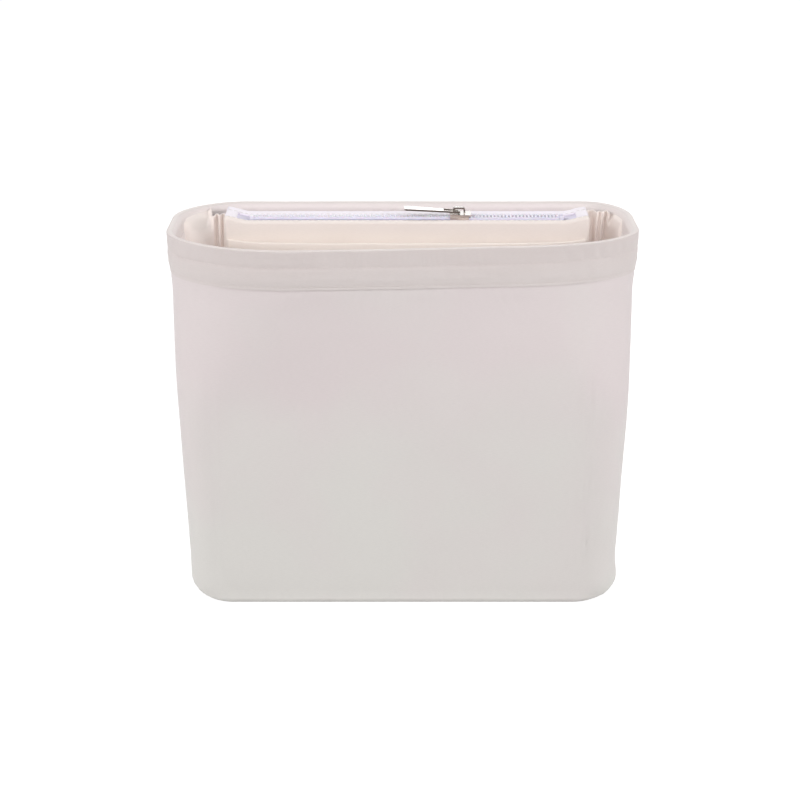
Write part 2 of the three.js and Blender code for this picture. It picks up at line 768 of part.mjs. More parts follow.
function sliderBody() {
  const outline = sliderOutline();
  const half = sliderLength / 2;
  const channel = mirroredShape([
    [-sliderLength, channelRear],
    [partingStart - seat, channelRear],
    [partingEnd - seat, channelFront],
    [sliderLength, channelFront],
  ]);
  const wallFoot = seat - tapeTop;
  const sides = plate(outline, wallFoot, topPlateUnder + bite)
    .subtract(plate(channel, wallFoot - bite, topPlateUnder + 2 * bite))
    .subtract(toSolid(box(
      point(half - 2 * sliderWall, -sliderLength, wallFoot - bite),
      point(sliderLength, sliderLength, topPlateUnder),
    )));
  const wedge = mirroredShape([
    [diamondStart, 0],
    [diamondStart + 2 * diamondHalfWidth, diamondHalfWidth],
    [diamondEnd - diamondHalfWidth, diamondHalfWidth],
    [diamondEnd, 0],
  ]);
  return plate(outline, topPlateUnder, topPlateTop)
    .add(plate(outline, bottomPlateTop - sliderPlate, bottomPlateTop))
    .add(plate(wedge, bottomPlateTop - bite, topPlateUnder + bite))
    .add(sides)
    .add(arch());
}

// The arch on the top plate that holds the puller's pin
const pinHeight = topPlateTop + pinClearance + pinRadius;
const archInside = pinHeight + pinRadius + archHeadroom;

function arch() {
  const outside = archLength / 2;
  const inside = outside - archThickness;
  const round = archThickness;
  const top = archInside + round;
  const shape = new THREE.Shape();
  shape.moveTo(-outside, topPlateTop - bite);
  shape.lineTo(-outside, top - 2 * round);
  shape.quadraticCurveTo(-outside, top, 2 * round - outside, top);
  shape.lineTo(outside - 2 * round, top);
  shape.quadraticCurveTo(outside, top, outside, top - 2 * round);
  shape.lineTo(outside, topPlateTop - bite);
  shape.lineTo(inside, topPlateTop - bite);
  shape.lineTo(inside, archInside - round);
  shape.quadraticCurveTo(inside, archInside, inside - round, archInside);
  shape.lineTo(round - inside, archInside);
  shape.quadraticCurveTo(-inside, archInside, -inside, archInside - round);
  shape.lineTo(-inside, topPlateTop - bite);
  const settings = { depth: archWidth, bevelEnabled: false, curveSegments: metalSteps };
  const geometry = new THREE.ExtrudeGeometry(shape, settings);
  return toSolid(geometry.rotateX(Math.PI / 2).translate(archOffset, archWidth / 2, 0));
}

// Puller, drawn round its pin, lying towards -X: pin, two arms and a long flat plate
function pullerBody() {
  const armInside = archWidth / 2 + pinClearance;
  const armOutside = armInside + armWidth;
  const half = pullerThickness / 2;
  const overlap = armWidth / 2;
  const plateShape = new THREE.Shape();
  const right = -armLength;
  const left = right - pullerLength;
  const side = pullerWidth / 2;
  plateShape.moveTo(left + pullerCorner, -side);
  plateShape.lineTo(right - pullerCorner, -side);
  plateShape.quadraticCurveTo(right, -side, right, pullerCorner - side);
  plateShape.lineTo(right, side - pullerCorner);
  plateShape.quadraticCurveTo(right, side, right - pullerCorner, side);
  plateShape.lineTo(left + pullerCorner, side);
  plateShape.quadraticCurveTo(left, side, left, side - pullerCorner);
  plateShape.lineTo(left, pullerCorner - side);
  plateShape.quadraticCurveTo(left, -side, left + pullerCorner, -side);
  const pin = new THREE.CylinderGeometry(pinRadius, pinRadius, 2 * armOutside, pinSteps);
  let solid = plate(plateShape, -half, half).add(toSolid(pin));
  for (const way of [-1, 1]) {
    const low = Math.min(way * armInside, way * armOutside);
    const arm = box(point(right - overlap, low, -half), point(0, low + armWidth, half));
    solid = solid.add(toSolid(arm));
  }
  return solid;
}

const slider = new THREE.Group();
slider.position.set(sliderRestX, zipLine, zipPlane);
divider.add(slider);
addPiece('zip_slider', toGeometry(sliderBody()), 'nickel', slider);

const puller = new THREE.Group();
puller.position.set(archOffset, 0, pinHeight);
puller.rotation.y = THREE.MathUtils.degToRad(pullerPitch);
slider.add(puller);
addPiece('zip_puller', toGeometry(pullerBody()), 'nickel', puller);

export default insert;
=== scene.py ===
# %% [markdown]
# A bag organiser insert is a cloth box that stands in a handbag. Board and foam sit between an
# outer skin and a lining, a deep hem is turned over the rim, and a zipped pouch hangs across the
# back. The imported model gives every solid's place in metres. This lesson keeps its boards,
# wadding and stops, and makes the cloth, the teeth and the castings again in the same places.

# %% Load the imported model
import math

import bmesh
import bpy
import numpy as np
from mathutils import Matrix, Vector


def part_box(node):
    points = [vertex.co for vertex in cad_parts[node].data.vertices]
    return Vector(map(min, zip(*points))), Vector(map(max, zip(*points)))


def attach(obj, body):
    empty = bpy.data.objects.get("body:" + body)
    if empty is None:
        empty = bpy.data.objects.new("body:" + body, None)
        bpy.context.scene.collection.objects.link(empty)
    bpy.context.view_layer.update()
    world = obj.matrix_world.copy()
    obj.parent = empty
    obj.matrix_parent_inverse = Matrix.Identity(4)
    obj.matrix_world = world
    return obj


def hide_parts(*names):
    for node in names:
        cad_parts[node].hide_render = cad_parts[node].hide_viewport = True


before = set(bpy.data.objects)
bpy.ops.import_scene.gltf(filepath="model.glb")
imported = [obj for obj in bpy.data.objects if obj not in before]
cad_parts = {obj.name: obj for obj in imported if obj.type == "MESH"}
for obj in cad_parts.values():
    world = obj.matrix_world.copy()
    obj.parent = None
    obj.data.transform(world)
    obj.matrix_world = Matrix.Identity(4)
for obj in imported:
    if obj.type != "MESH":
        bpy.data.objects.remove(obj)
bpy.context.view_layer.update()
MM = 0.001

# %% [markdown]
# The camera comes first, so that every draft can be seen from the photograph's own angle. It
# looks down at the box by 20 degrees through a long lens, because the walls hardly converge.

# %% Camera
VIEW_DOWN = math.radians(20)
VIEW_DISTANCE = 1.0
VIEW_AIM = Vector((-1.6 * MM, 0, 102.2 * MM))


def in_scene(name, data):
    obj = bpy.data.objects.new(name, data)
    bpy.context.scene.collection.objects.link(obj)
    return obj


camera = in_scene("camera", bpy.data.cameras.new("camera"))
camera.data.lens = 80
camera.data.sensor_width = 36
camera.data.clip_start = 0.01
camera.rotation_euler = (math.pi / 2 - VIEW_DOWN, 0, 0)
camera.location = VIEW_AIM + VIEW_DISTANCE * Vector((0, -math.cos(VIEW_DOWN), math.sin(VIEW_DOWN)))
bpy.context.scene.camera = camera
print("camera at", tuple(round(v, 4) for v in camera.location))

# %% [markdown]
# The insert stands on a white sweep in soft, even light. The sweep and the world show pure white
# to the camera and in the metal, while the lamps stay at a plain level. The floor's own shading
# is kept small beside that white, so only a faint shadow is left at the foot. Overhead the world
# is dim, as a room's ceiling is, which darkens the polished metal's edges, together with the dark
# reflections painted on the metal.


# %% Node helpers
def add(tree, kind, inputs=None, **settings):
    """Adds a shader node. An input may be a value or another node's output."""
    node = tree.nodes.new(kind)
    for key, value in settings.items():
        setattr(node, key, value)
    for socket, value in (inputs or {}).items():
        if isinstance(value, bpy.types.NodeSocket):
            tree.links.new(value, node.inputs[socket])
        else:
            node.inputs[socket].default_value = value
    return node


def sums(tree, operation, *values, **settings):
    """The result of a Math node on up to three values."""
    return add(tree, "ShaderNodeMath", dict(enumerate(values)), operation=operation,
               **settings).outputs[0]


def ramp(tree, value, start, end, low=0.0, high=1.0):
    """Turns start to end into low to high, and holds both beyond."""
    return add(tree, "ShaderNodeMapRange",
               {0: value, 1: start, 2: end, 3: low, 4: high}).outputs[0]


def part_of(tree, vector, axis):
    return add(tree, "ShaderNodeSeparateXYZ", {0: vector}).outputs[axis]


def emptied(holder):
    """The node tree of a world or a material, with nothing in it."""
    holder.use_nodes = True
    holder.node_tree.nodes.clear()
    return holder.node_tree


def linear(red, green, blue):
    """A colour given as 0 to 255 on screen, as the linear values that shaders want."""
    values = [v / 255 for v in (red, green, blue)]
    return tuple(v / 12.92 if v <= 0.04045 else ((v + 0.055) / 1.055) ** 2.4 for v in values) + (1,)


def between(tree, value, *colours):
    """Mixes two colours, each given as 0 to 255 on screen or as another node's output."""
    first, second = (linear(*c) if isinstance(c, tuple) else c for c in colours)
    return add(tree, "ShaderNodeMix", {"Factor": value, "A": first, "B": second},
               data_type="RGBA").outputs["Result"]


def seen_directly(tree):
    """1 for rays from the camera, a mirror or glass, and 0 for light that bounces."""
    rays = add(tree, "ShaderNodeLightPath").outputs
    mirror = sums(tree, "MAXIMUM", rays["Is Camera Ray"], rays["Is Glossy Ray"])
    return sums(tree, "MAXIMUM", mirror, rays["Is Transmission Ray"])


# %% World and floor
WORLD_LIGHT = 0.368
SKY_TINT = (1, 0.995, 0.99, 1)
CEILING_LIGHT = 0.3
CEILING_EDGE = (0.55, 0.8)
FLOOR_GLOW = 0.93
FLOOR_SHADE = 0.24
FLOOR_BOUNCE = 0.7
FLOOR_HALF = 6.0

world = bpy.data.worlds.new("studio")
tree = emptied(world)
direct = seen_directly(tree)
up = part_of(tree, add(tree, "ShaderNodeTexCoord").outputs["Generated"], "Z")
overhead = ramp(tree, up, *CEILING_EDGE, 1.0, CEILING_LIGHT)
white, sky = (add(tree, "ShaderNodeBackground", {"Color": colour, "Strength": strength}).outputs[0]
              for colour, strength in (((1, 1, 1, 1), overhead), (SKY_TINT, WORLD_LIGHT)))
both = add(tree, "ShaderNodeMixShader", {0: direct, 1: sky, 2: white}).outputs[0]
add(tree, "ShaderNodeOutputWorld", {"Surface": both})
bpy.context.scene.world = world

sweep = bpy.data.materials.new("white_sweep")
tree = emptied(sweep)
shade, bounce = (add(tree, "ShaderNodeBsdfDiffuse", {"Color": (v, v, v, 1)}).outputs[0]
                 for v in (FLOOR_SHADE, FLOOR_BOUNCE))
glow = add(tree, "ShaderNodeEmission", {"Strength": FLOOR_GLOW}).outputs[0]
shown = add(tree, "ShaderNodeAddShader", {0: shade, 1: glow}).outputs[0]
floor_mix = add(tree, "ShaderNodeMixShader", {0: seen_directly(tree), 1: bounce, 2: shown})
add(tree, "ShaderNodeOutputMaterial", {"Surface": floor_mix.outputs[0]})

corners = [(x * FLOOR_HALF, y * FLOOR_HALF, 0) for x, y in ((-1, -1), (1, -1), (1, 1), (-1, 1))]
floor_mesh = bpy.data.meshes.new("floor")
floor_mesh.from_pydata(corners, [], [(0, 1, 2, 3)])
floor_mesh.materials.append(sweep)
floor = in_scene("floor", floor_mesh)
bpy.context.scene.view_settings.view_transform = "Standard"
print("floor", 2 * FLOOR_HALF, "m wide")


# %% Lamps
LAMPS_AIM = 0.1


def around(azimuth, rise, distance):
    """A place round the object: azimuth 0 is in front of it, 90 on its right."""
    a, e = math.radians(azimuth), math.radians(rise)
    return (distance * math.sin(a) * math.cos(e), -distance * math.cos(a) * math.cos(e),
            distance * math.sin(e) + LAMPS_AIM)


for name, azimuth, rise, distance, size, watts in (
        ("left_lamp", -66, 25, 1.7, 0.9, 11.9), ("right_lamp", 66, 25, 1.7, 0.9, 11.5),
        ("front_lamp", 0, 27, 1.6, 0.9, 4.5), ("back_lamp", 180, 34, 1.7, 0.9, 5.0),
        ("top_lamp", 0, 84, 1.5, 0.8, 0.7)):
    light = bpy.data.lights.new(name, "AREA")
    light.shape = "DISK"
    light.size = size
    light.energy = watts
    lamp = in_scene(name, light)
    lamp.location = around(azimuth, rise, distance)
    aim = Vector((0, 0, LAMPS_AIM)) - lamp.location
    lamp.rotation_euler = aim.to_track_quat("-Z", "Y").to_euler()
print("lamps", len(bpy.data.lights))

# %% [markdown]
# Satin shows long floating threads that lie across the cloth, and a soft sheen at a slant. The
# finish is made of noise stretched along the weft, a finer warp behind it, and broad faint
# creases. It reads a UV map laid out in metres, so the threads keep their size round each fold.


# %% Cloth finish
THREAD = 0.3 * MM
FLOAT_LENGTH = 2.6 * MM
BLOTCH = 70 * MM


def finish_of(name, build, *colours, **choices):
    """A material on the Principled inputs that a function builds for it."""
    material = bpy.data.materials.new(name)
    tree = emptied(material)
    place = add(tree, "ShaderNodeTexCoord").outputs["Object"]
    shader = add(tree, "ShaderNodeBsdfPrincipled", build(tree, place, *colours, **choices))
    add(tree, "ShaderNodeOutputMaterial", {"Surface": shader.outputs[0]})
    return material


def speckle(tree, place, scale, detail=2.0, roughness=0.5):
    return add(tree, "ShaderNodeTexNoise", {"Vector": place, "Scale": scale, "Detail": detail,
                                            "Roughness": roughness}).outputs["Fac"]


def spread(tree, noise, low, high):
    """Turns the 0.3 to 0.7 that noise mostly gives into low to high."""
    return ramp(tree, noise, 0.3, 0.7, low, high)


def stretched(tree, vector, *scale):
    return add(tree, "ShaderNodeMapping", {"Vector": vector, "Scale": scale}).outputs[0]


def raised(tree, height, strength, distance, **under):
    return add(tree, "ShaderNodeBump", {"Height": height, "Strength": strength,
                                        "Distance": distance, **under}).outputs[0]


def cloth_shader(tree, place, colour, tint, crease=0.3, tint_from=None):
    """A woven finish that drifts between two colours in broad, faint blotches.
    With tint_from, a pair of heights, the tint also grows from the lower to the upper."""
    uv = add(tree, "ShaderNodeUVMap", uv_map="cloth").outputs["UV"]
    weft = speckle(tree, stretched(tree, uv, 1 / FLOAT_LENGTH, 1 / THREAD, 1), 1.0, roughness=0.55)
    warp = speckle(tree, stretched(tree, uv, 1 / THREAD, 0.35 / THREAD, 1), 1.0, 1.0)
    drift = ramp(tree, speckle(tree, place, 1 / BLOTCH), 0.35, 0.65)
    if tint_from:
        rise = ramp(tree, part_of(tree, place, "Z"), *tint_from, -0.3, 0.7)
        drift = sums(tree, "MULTIPLY_ADD", drift, 0.6, rise, use_clamp=True)
    broad = between(tree, drift, colour, tint)
    toned = add(tree, "ShaderNodeVectorMath", {0: broad, 1: spread(tree, weft, 0.965, 1.0)},
                operation="MULTIPLY").outputs[0]
    creases = raised(tree, speckle(tree, place, 75.0, 3.0), crease, 0.6 * MM)
    threads = sums(tree, "MULTIPLY_ADD", warp, 0.35, weft)
    return {"Base Color": toned, "Roughness": spread(tree, weft, 0.57, 0.43),
            "Normal": raised(tree, threads, 0.35, 0.06 * MM, Normal=creases),
            "Sheen Weight": 0.12, "Sheen Roughness": 0.45, "Specular IOR Level": 0.35}


outer_satin = finish_of("outer_satin", cloth_shader, (221, 218, 214), (222, 212, 212),
                        tint_from=(30 * MM, 150 * MM))
hem_satin = finish_of("hem_satin", cloth_shader, (218, 209, 207), (215, 205, 203), crease=0.4,
                      tint_from=(187 * MM, 196 * MM))
# Lighter copies of the hem's satin: a painted highlight for the rim's crest, and painted light for
# the hem's inside leg.
crest_painted_highlight_satin = finish_of("crest_painted_highlight_satin", cloth_shader, (233, 224, 221), (234, 224, 221))
inner_painted_light_satin = finish_of("inner_painted_light_satin", cloth_shader, (239, 230, 228), (239, 229, 228))
lining_satin = finish_of("lining_satin", cloth_shader, (252, 243, 238), (250, 238, 233))
# The darker tint above 191 mm is painted shade, toning down the light on the panels' up-facing top
# folds.
pouch_satin = finish_of("pouch_satin", cloth_shader, (252, 242, 235), (247, 237, 232), crease=0.25,
                        tint_from=(191 * MM, 199 * MM))
tab_satin = finish_of("tab_satin", cloth_shader, (250, 243, 249), (250, 243, 255), crease=0.25)
print("cloth finishes", [m.name for m in bpy.data.materials if "satin" in m.name])

# %% [markdown]
# The zip's tape is woven in ribs that run along it, its nylon is smooth and milky, and its metal
# is nickel plate. The hidden board and wadding are plain, but each still has its own grain.


# %% Tape, nylon, nickel, board and wadding
WAVE_PITCH = 0.314
ZIP_MIDDLE = 25.3 * MM
PLATE_TOP = 203.7 * MM
# A painted dark reflection for the metal's upright faces and back edge.
PAINTED_DARK_REFLECTION = (138, 132, 127)


def tape_shader(tree, place):
    """Ribs along the tape, crossed by finer threads."""
    ribs, picks = (add(tree, "ShaderNodeTexWave", {"Vector": place, "Scale": WAVE_PITCH / pitch},
                       wave_type="BANDS", bands_direction=way).outputs["Fac"]
                   for way, pitch in (("Y", 0.9 * MM), ("X", 0.5 * MM)))
    weave = sums(tree, "MULTIPLY", ribs, picks)
    return {"Base Color": between(tree, weave, (228, 222, 241), (241, 236, 250)),
            "Roughness": 0.7, "Normal": raised(tree, weave, 0.5, 0.12 * MM), "Sheen Weight": 0.2}


def behind_zip(tree, place):
    """How far back a place lies from the zip's middle line."""
    return sums(tree, "SUBTRACT", part_of(tree, place, "Y"), ZIP_MIDDLE)


def nylon_shader(tree, place):
    """Milky nylon, with painted shade where the rows meet, on their outer edges and back row."""
    tone = speckle(tree, place, 900)
    behind = behind_zip(tree, place)
    off_line = sums(tree, "ABSOLUTE", behind)
    clean = between(tree, tone, (249, 246, 254), (252, 250, 255))
    # Painted shade: the back row is darker, the rows' outer edges darker again, and the line where
    # the rows meet darkest.
    rows = between(tree, ramp(tree, behind, 0.2 * MM, 0.9 * MM), clean, (241, 238, 250))
    edge_painted_shade = between(tree, ramp(tree, off_line, 2.0 * MM, 2.5 * MM), rows, (236, 232, 246))
    seam = ramp(tree, off_line, 0.3 * MM, 0.7 * MM, 0.8, 0.0)
    return {"Base Color": between(tree, seam, edge_painted_shade, (204, 199, 214)),
            "Roughness": spread(tree, tone, 0.28, 0.4),
            "Subsurface Weight": 0.15, "Subsurface Scale": 0.8 * MM, "Coat Weight": 0.2}


def nickel_shader(tree, place, painted_side_tone, border):
    """Polished nickel plate. Its upright faces carry a painted side tone below the plate's top and
    a painted dark reflection above it. Its rounded back edge, past a distance from the zip's middle
    line, carries the painted dark reflection too."""
    upright = part_of(tree, add(tree, "ShaderNodeTexCoord").outputs["Normal"], "Z")
    tone = speckle(tree, place, 700, 4.0)
    marks = speckle(tree, stretched(tree, place, 150, 2500, 2500), 1.0)
    high = ramp(tree, part_of(tree, place, "Z"), PLATE_TOP - 0.4 * MM, PLATE_TOP + 0.4 * MM)
    edge = ramp(tree, behind_zip(tree, place), border, border + 0.3 * MM)
    clean = between(tree, tone, (181, 177, 173), (190, 186, 183))
    sides = between(tree, high, painted_side_tone, PAINTED_DARK_REFLECTION)
    top = between(tree, edge, clean, PAINTED_DARK_REFLECTION)
    return {"Base Color": between(tree, ramp(tree, upright, 0.75, 0.95), sides, top),
            "Metallic": 1.0, "Roughness": spread(tree, marks, 0.14, 0.24),
            "Normal": raised(tree, marks, 0.08, 0.02 * MM)}


def grain_shader(tree, place, dark, light, scale, detail, gloss, bump, sheen=0.0):
    """An even grain, as board and wadding have."""
    tone = speckle(tree, place, scale, detail)
    return {"Base Color": between(tree, tone, dark, light), "Sheen Weight": sheen,
            "Roughness": spread(tree, tone, *gloss), "Normal": raised(tree, tone, *bump)}


def thread_shader(tree, place):
    tone = speckle(tree, place, 1500)
    return {"Base Color": between(tree, tone, (211, 201, 199), (219, 209, 207)),
            "Roughness": spread(tree, tone, 0.45, 0.6), "Sheen Weight": 0.1}


tape_finish = finish_of("zip_tape", tape_shader)
nylon_finish = finish_of("nylon", nylon_shader)
# The puller's upright faces and back edge are painted dark, as reflections. The slider's lower
# sides are painted a pinkish tone, as a reflection of the cloth.
nickel_finish = finish_of("nickel_plate", nickel_shader, PAINTED_DARK_REFLECTION, border=1.9 * MM)
slider_finish = finish_of("slider_plate", nickel_shader, (236, 227, 222), border=9 * MM)
board_finish = finish_of("board", grain_shader, (198, 192, 180), (214, 208, 196),
                         scale=500, detail=5.0, gloss=(0.75, 0.9), bump=(0.3, 0.1 * MM))
wadding_finish = finish_of("wadding", grain_shader, (232, 229, 220), (244, 242, 235), scale=300,
                           detail=6.0, gloss=(0.95, 0.95), bump=(0.8, 0.4 * MM), sheen=0.2)
thread_finish = finish_of("thread", thread_shader)
print("finishes", len(bpy.data.materials))

# %% Dress the nodes that stay as they are
WALL_CORE = ["front_board", "back_board", "left_side_foam", "right_side_foam"]
for names, finish in ((WALL_CORE[:2] + ["base_board", "rim_stay"], board_finish),
                      (WALL_CORE[2:], wadding_finish),
                      (["zip_bottom_stop", "zip_top_stop_front", "zip_top_stop_back"],
                       nylon_finish)):
    for name in names:
        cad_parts[name].data.materials.clear()
        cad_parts[name].data.materials.append(finish)
    print(finish.name, names)

# %% [markdown]
# Every layer of the body is one loft round the same outline: straight runs joined by four
# corners that open into long curves near the rim. A layer is that outline drawn in by a depth,
# so skin, lining and hem nest as they do when they are sewn. The outline is worked out for whole
# arrays of places at once, which keeps a wall of thousands of points quick.

# %% The body's outline
HEM_FOOT, HEIGHT = (corner.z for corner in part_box("rim_hem"))
RIM = (252.4 * MM, 104 * MM)
WALL = (248.2 * MM, 103 * MM)
BASE = (236.8 * MM, 102 * MM)
FLARE_HEIGHT = 165 * MM
FLARE_POWER = 1.08
CORNER = 24 * MM
QUADRANTS = ((1, 1, 24 * MM, 34 * MM), (-1, 1, 39 * MM, 37 * MM),
             (-1, -1, 71 * MM, 43.3 * MM), (1, -1, 71 * MM, 43.3 * MM))
CURVE_START = 110 * MM
FRONT_SWELL = 4.4 * MM
FRONT_DRAW = 6.1 * MM
SWELL_REACH = 95 * MM
FOLD_FRONT = 4.2 * MM
FOLD_SIDE = 9 * MM


def ease(share):
    t = np.clip(share, 0, 1)
    return t * t * (3 - 2 * t)


def at(x, y, z):
    """An array of points from coordinates that are numbers or arrays."""
    return np.stack(np.broadcast_arrays(x, y, z), axis=-1)


def flare(axis, z):
    """Half of the outline's length or depth at a height."""
    share = np.clip(z, 0, None) / FLARE_HEIGHT
    lean = BASE[axis] + (WALL[axis] - BASE[axis]) * (1 - (1 - np.minimum(share, 1)) ** FLARE_POWER)
    kick = (RIM[axis] - WALL[axis]) * ease((z - FLARE_HEIGHT) / (HEIGHT - FLARE_HEIGHT))
    return (lean + kick) / 2


def corner_point(quadrant, angle, z, depth):
    """X and Y of a place on one rounded corner, before the rim's front swells."""
    sign_x, sign_y, rim_x, rim_y = QUADRANTS[quadrant]
    opened = ease((z - CURVE_START) / (HEIGHT - CURVE_START))
    radius_x = CORNER + (rim_x - CORNER) * opened
    radius_y = CORNER + (rim_y - CORNER) * opened
    c, s = np.cos(angle), np.sin(angle)
    length = np.hypot(c / radius_x, s / radius_y)
    x = sign_x * (flare(0, z) - radius_x) + radius_x * c - c / radius_x / length * depth
    y = sign_y * (flare(1, z) - radius_y) + radius_y * s - s / radius_y / length * depth
    return x, y


def wall_point(quadrant, angle, run, z, depth):
    """A place on the wall. run goes from 0 at a corner's end to 1 at the next corner's start."""
    x, y = corner_point(quadrant, angle, z, depth)
    if run > 0:
        next_x, next_y = corner_point((quadrant + 1) % 4, angle, z, depth)
        x, y = x + (next_x - x) * run, y + (next_y - y) * run
    turn = np.sin(np.clip(x / SWELL_REACH, -1, 1) * np.pi / 2)
    swell = np.where(turn < 0, -turn * FRONT_SWELL, -turn * FRONT_DRAW)
    opened = ease((z - CURVE_START) / (HEIGHT - CURVE_START))
    stretch = np.where(y < 0, 1 + opened * swell / (RIM[1] / 2), 1)
    return at(x, y * stretch, z)


def stations(corner_steps, long_steps, short_steps):
    """Places round the outline, as quadrant, angle and run, from the right side's middle on."""
    found = []
    for quadrant in range(4):
        for step in range(corner_steps):
            found.append((quadrant, (quadrant + step / corner_steps) * math.pi / 2, 0.0))
        runs = short_steps if quadrant in (1, 3) else long_steps
        for step in range(runs):
            found.append((quadrant, (quadrant + 1) * math.pi / 2, step / runs))
    return found


outline = np.array([wall_point(*s, np.float64(100 * MM), 0.0) for s in stations(8, 4, 4)])
print("outline at half height, mm", np.round(np.ptp(outline, axis=0) / MM, 1)[:2])

# %% [markdown]
# Cloth pieces are grids of points. A grid carries a UV map in metres, counted along its columns
# and rows, and either closes on itself round the body or gets its thickness from Solidify.


# %% Grids of cloth
def grid_piece(name, points, material, wrap_columns=False, wrap_rows=False, sharp=50,
               thickness=0):
    """A mesh piece from an array of points: columns, rows, xyz. Thickness goes to both sides."""
    steps = [np.linalg.norm(np.diff(points, axis=axis, append=points.take([0], axis)), axis=-1)
             for axis in (0, 1)]
    index = np.arange(points.shape[0] * points.shape[1]).reshape(points.shape[:2])
    index = np.pad(index, ((0, int(wrap_columns)), (0, int(wrap_rows))), mode="wrap")
    across = np.concatenate([[0], np.cumsum(steps[0].mean(axis=1))])[:index.shape[0]]
    along = np.concatenate([[0], np.cumsum(steps[1].mean(axis=0))])[:index.shape[1]]
    low, high = slice(None, -1), slice(1, None)
    sides = ((low, low), (high, low), (high, high), (low, high))
    faces = np.stack([index[side] for side in sides], axis=-1).reshape(-1, 4)
    chart = np.stack(np.meshgrid(across, along, indexing="ij"), axis=-1)
    corners_uv = np.stack([chart[side] for side in sides], axis=2).reshape(-1, 4, 2)
    flat = points.reshape(-1, 3)
    if wrap_columns and wrap_rows:
        a, b, c, d = flat[faces].transpose(1, 0, 2)
        if np.sum(a * (np.cross(b, c) + np.cross(c, d))) < 0:
            faces, corners_uv = faces[:, ::-1], corners_uv[:, ::-1]
    mesh = bpy.data.meshes.new(name)
    mesh.from_pydata(flat.tolist(), [], faces.tolist())
    layer = mesh.uv_layers.new(name="cloth")
    layer.data.foreach_set("uv", corners_uv.reshape(-1).astype(np.float32))
    mesh.shade_smooth()
    mesh.set_sharp_from_angle(angle=math.radians(sharp))
    mesh.materials.append(material)
    piece = in_scene(name, mesh)
    if thickness:
        solid = piece.modifiers.new("thickness", "SOLIDIFY")
        solid.thickness = thickness
        solid.offset = 0.0
        solid.use_even_offset = True
    return piece


def sew_on(piece, node, flat=None, body="insert"):
    """The piece stands for a node, rides on its body and, if it is a sheet, says its flat size."""
    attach(piece, body)
    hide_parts(node)
    print(piece.name, len(piece.data.polygons), "faces", flat or "")


# %% Irregular waves
WAVES = 7


def ripples(around, height, turns, rise, seed):
    """Waves of irregular length. around goes from 0 to 1 and joins up; rise is waves a metre up."""
    source = np.random.default_rng(seed)
    total = 0
    for _ in range(WAVES):
        turn = source.integers(*turns)
        slope = source.normal(0, rise)
        total = total + np.sin(2 * np.pi * (turn * around + slope * height + source.uniform()))
    return total / math.sqrt(WAVES)


def ridge(value, middle, width):
    return np.exp(-((value - middle) / width) ** 2)


# %% [markdown]
# The outer wall is one skin that folds under the base. Pulled over stiff boards it is almost
# flat, so what shows is small: a faint upright ridge where each board ends, gathers that run
# down from the hem, a seam along the foot, and corners that puff out a little.

# %% Outer wall
SATIN = 0.6 * MM
FOLD_STEPS = 9
BOARD_ENDS = ((-102.3 * MM, 0.3), (100.2 * MM, 0.55))
FOOT_SEAM = 4.5 * MM
WALL_TOP = HEIGHT - 0.9 * MM


def fold_radius(angle):
    return FOLD_FRONT + (FOLD_SIDE - FOLD_FRONT) * math.cos(angle) ** 2


def wall_profile(station, depth, levels):
    """Insets and heights of one upright line of a wall layer, from under the base to its top."""
    fold = fold_radius(station[1])
    turn = np.linspace(0, np.pi / 2, FOLD_STEPS)
    inset = fold - (fold - depth) * np.sin(turn)
    height = fold - (fold - depth) * np.cos(turn)
    return np.concatenate([inset, np.full(len(levels), depth)]), np.concatenate([height, levels])


def outer_puff(xyz, around):
    """How far the outer skin stands proud of its plain form."""
    x, y, z = np.moveaxis(xyz, -1, 0)
    upright = ease((z - 4 * MM) / (12 * MM)) * ease((HEM_FOOT - z) / (10 * MM))
    broad = 0.3 * MM * (1 + ripples(around, z, (3, 12), 9, seed=4)) / 2 * upright
    ends = 0
    for end_x, depth in BOARD_ENDS:
        inward = (x - end_x) * -math.copysign(1, end_x)
        ends = ends + depth * (ridge(inward, 2.4 * MM, 2.2 * MM) - 1.2 * ridge(inward, 0, 0.7 * MM))
    ends = ends * (np.abs(y) > 35 * MM) * (1 + 0.3 * ripples(z / HEIGHT, 0.0, (2, 9), 0, seed=6))
    ends = ends * ease((z - 16 * MM) / (20 * MM)) * ease((158 * MM - z) / (30 * MM))
    gathers = ripples(around, z, (70, 118), 6, seed=8) * np.exp(-np.abs(HEM_FOOT - z) / (11 * MM))
    puckers = ripples(around, z, (60, 110), 12, seed=5) * ridge(z, FOOT_SEAM, 5 * MM)
    seam = -ridge(z, FOOT_SEAM, 0.8 * MM)
    corner = ease((np.abs(x) - 95 * MM) / (15 * MM)) * ridge(z, 7 * MM, 8 * MM)
    right_foot = ease((x - 100 * MM) / (12 * MM)) * ridge(z, 8 * MM, 9 * MM)
    under_hem = (0.35 * MM * ease((z - HEM_FOOT + 9 * MM) / (8 * MM))
                 * ease((HEM_FOOT - z) / (0.8 * MM)))
    return (broad + under_hem + MM * ends + 0.16 * MM * gathers + 0.12 * MM * puckers
            + 0.4 * MM * seam + 0.5 * MM * corner + 1.3 * MM * right_foot)


def wall_layer(places, depths, levels, puff):
    """The closed loft of a wall layer between two depths."""
    columns = []
    for number, station in enumerate(places):
        sides = []
        for depth in depths:
            inset, height = wall_profile(station, depth, levels)
            proud = puff(wall_point(*station, height, inset), number / len(places))
            sides.append(wall_point(*station, height, inset - proud * ease(height / (3 * MM))))
        columns.append(np.concatenate([sides[0], sides[1][::-1]]))
    return np.stack(columns)


def girth(points, row):
    ring = points[:, row]
    return float(np.linalg.norm(ring - np.roll(ring, 1, axis=0), axis=1).sum())


def run_length(points):
    return float(np.linalg.norm(np.diff(points, axis=0), axis=1).sum())


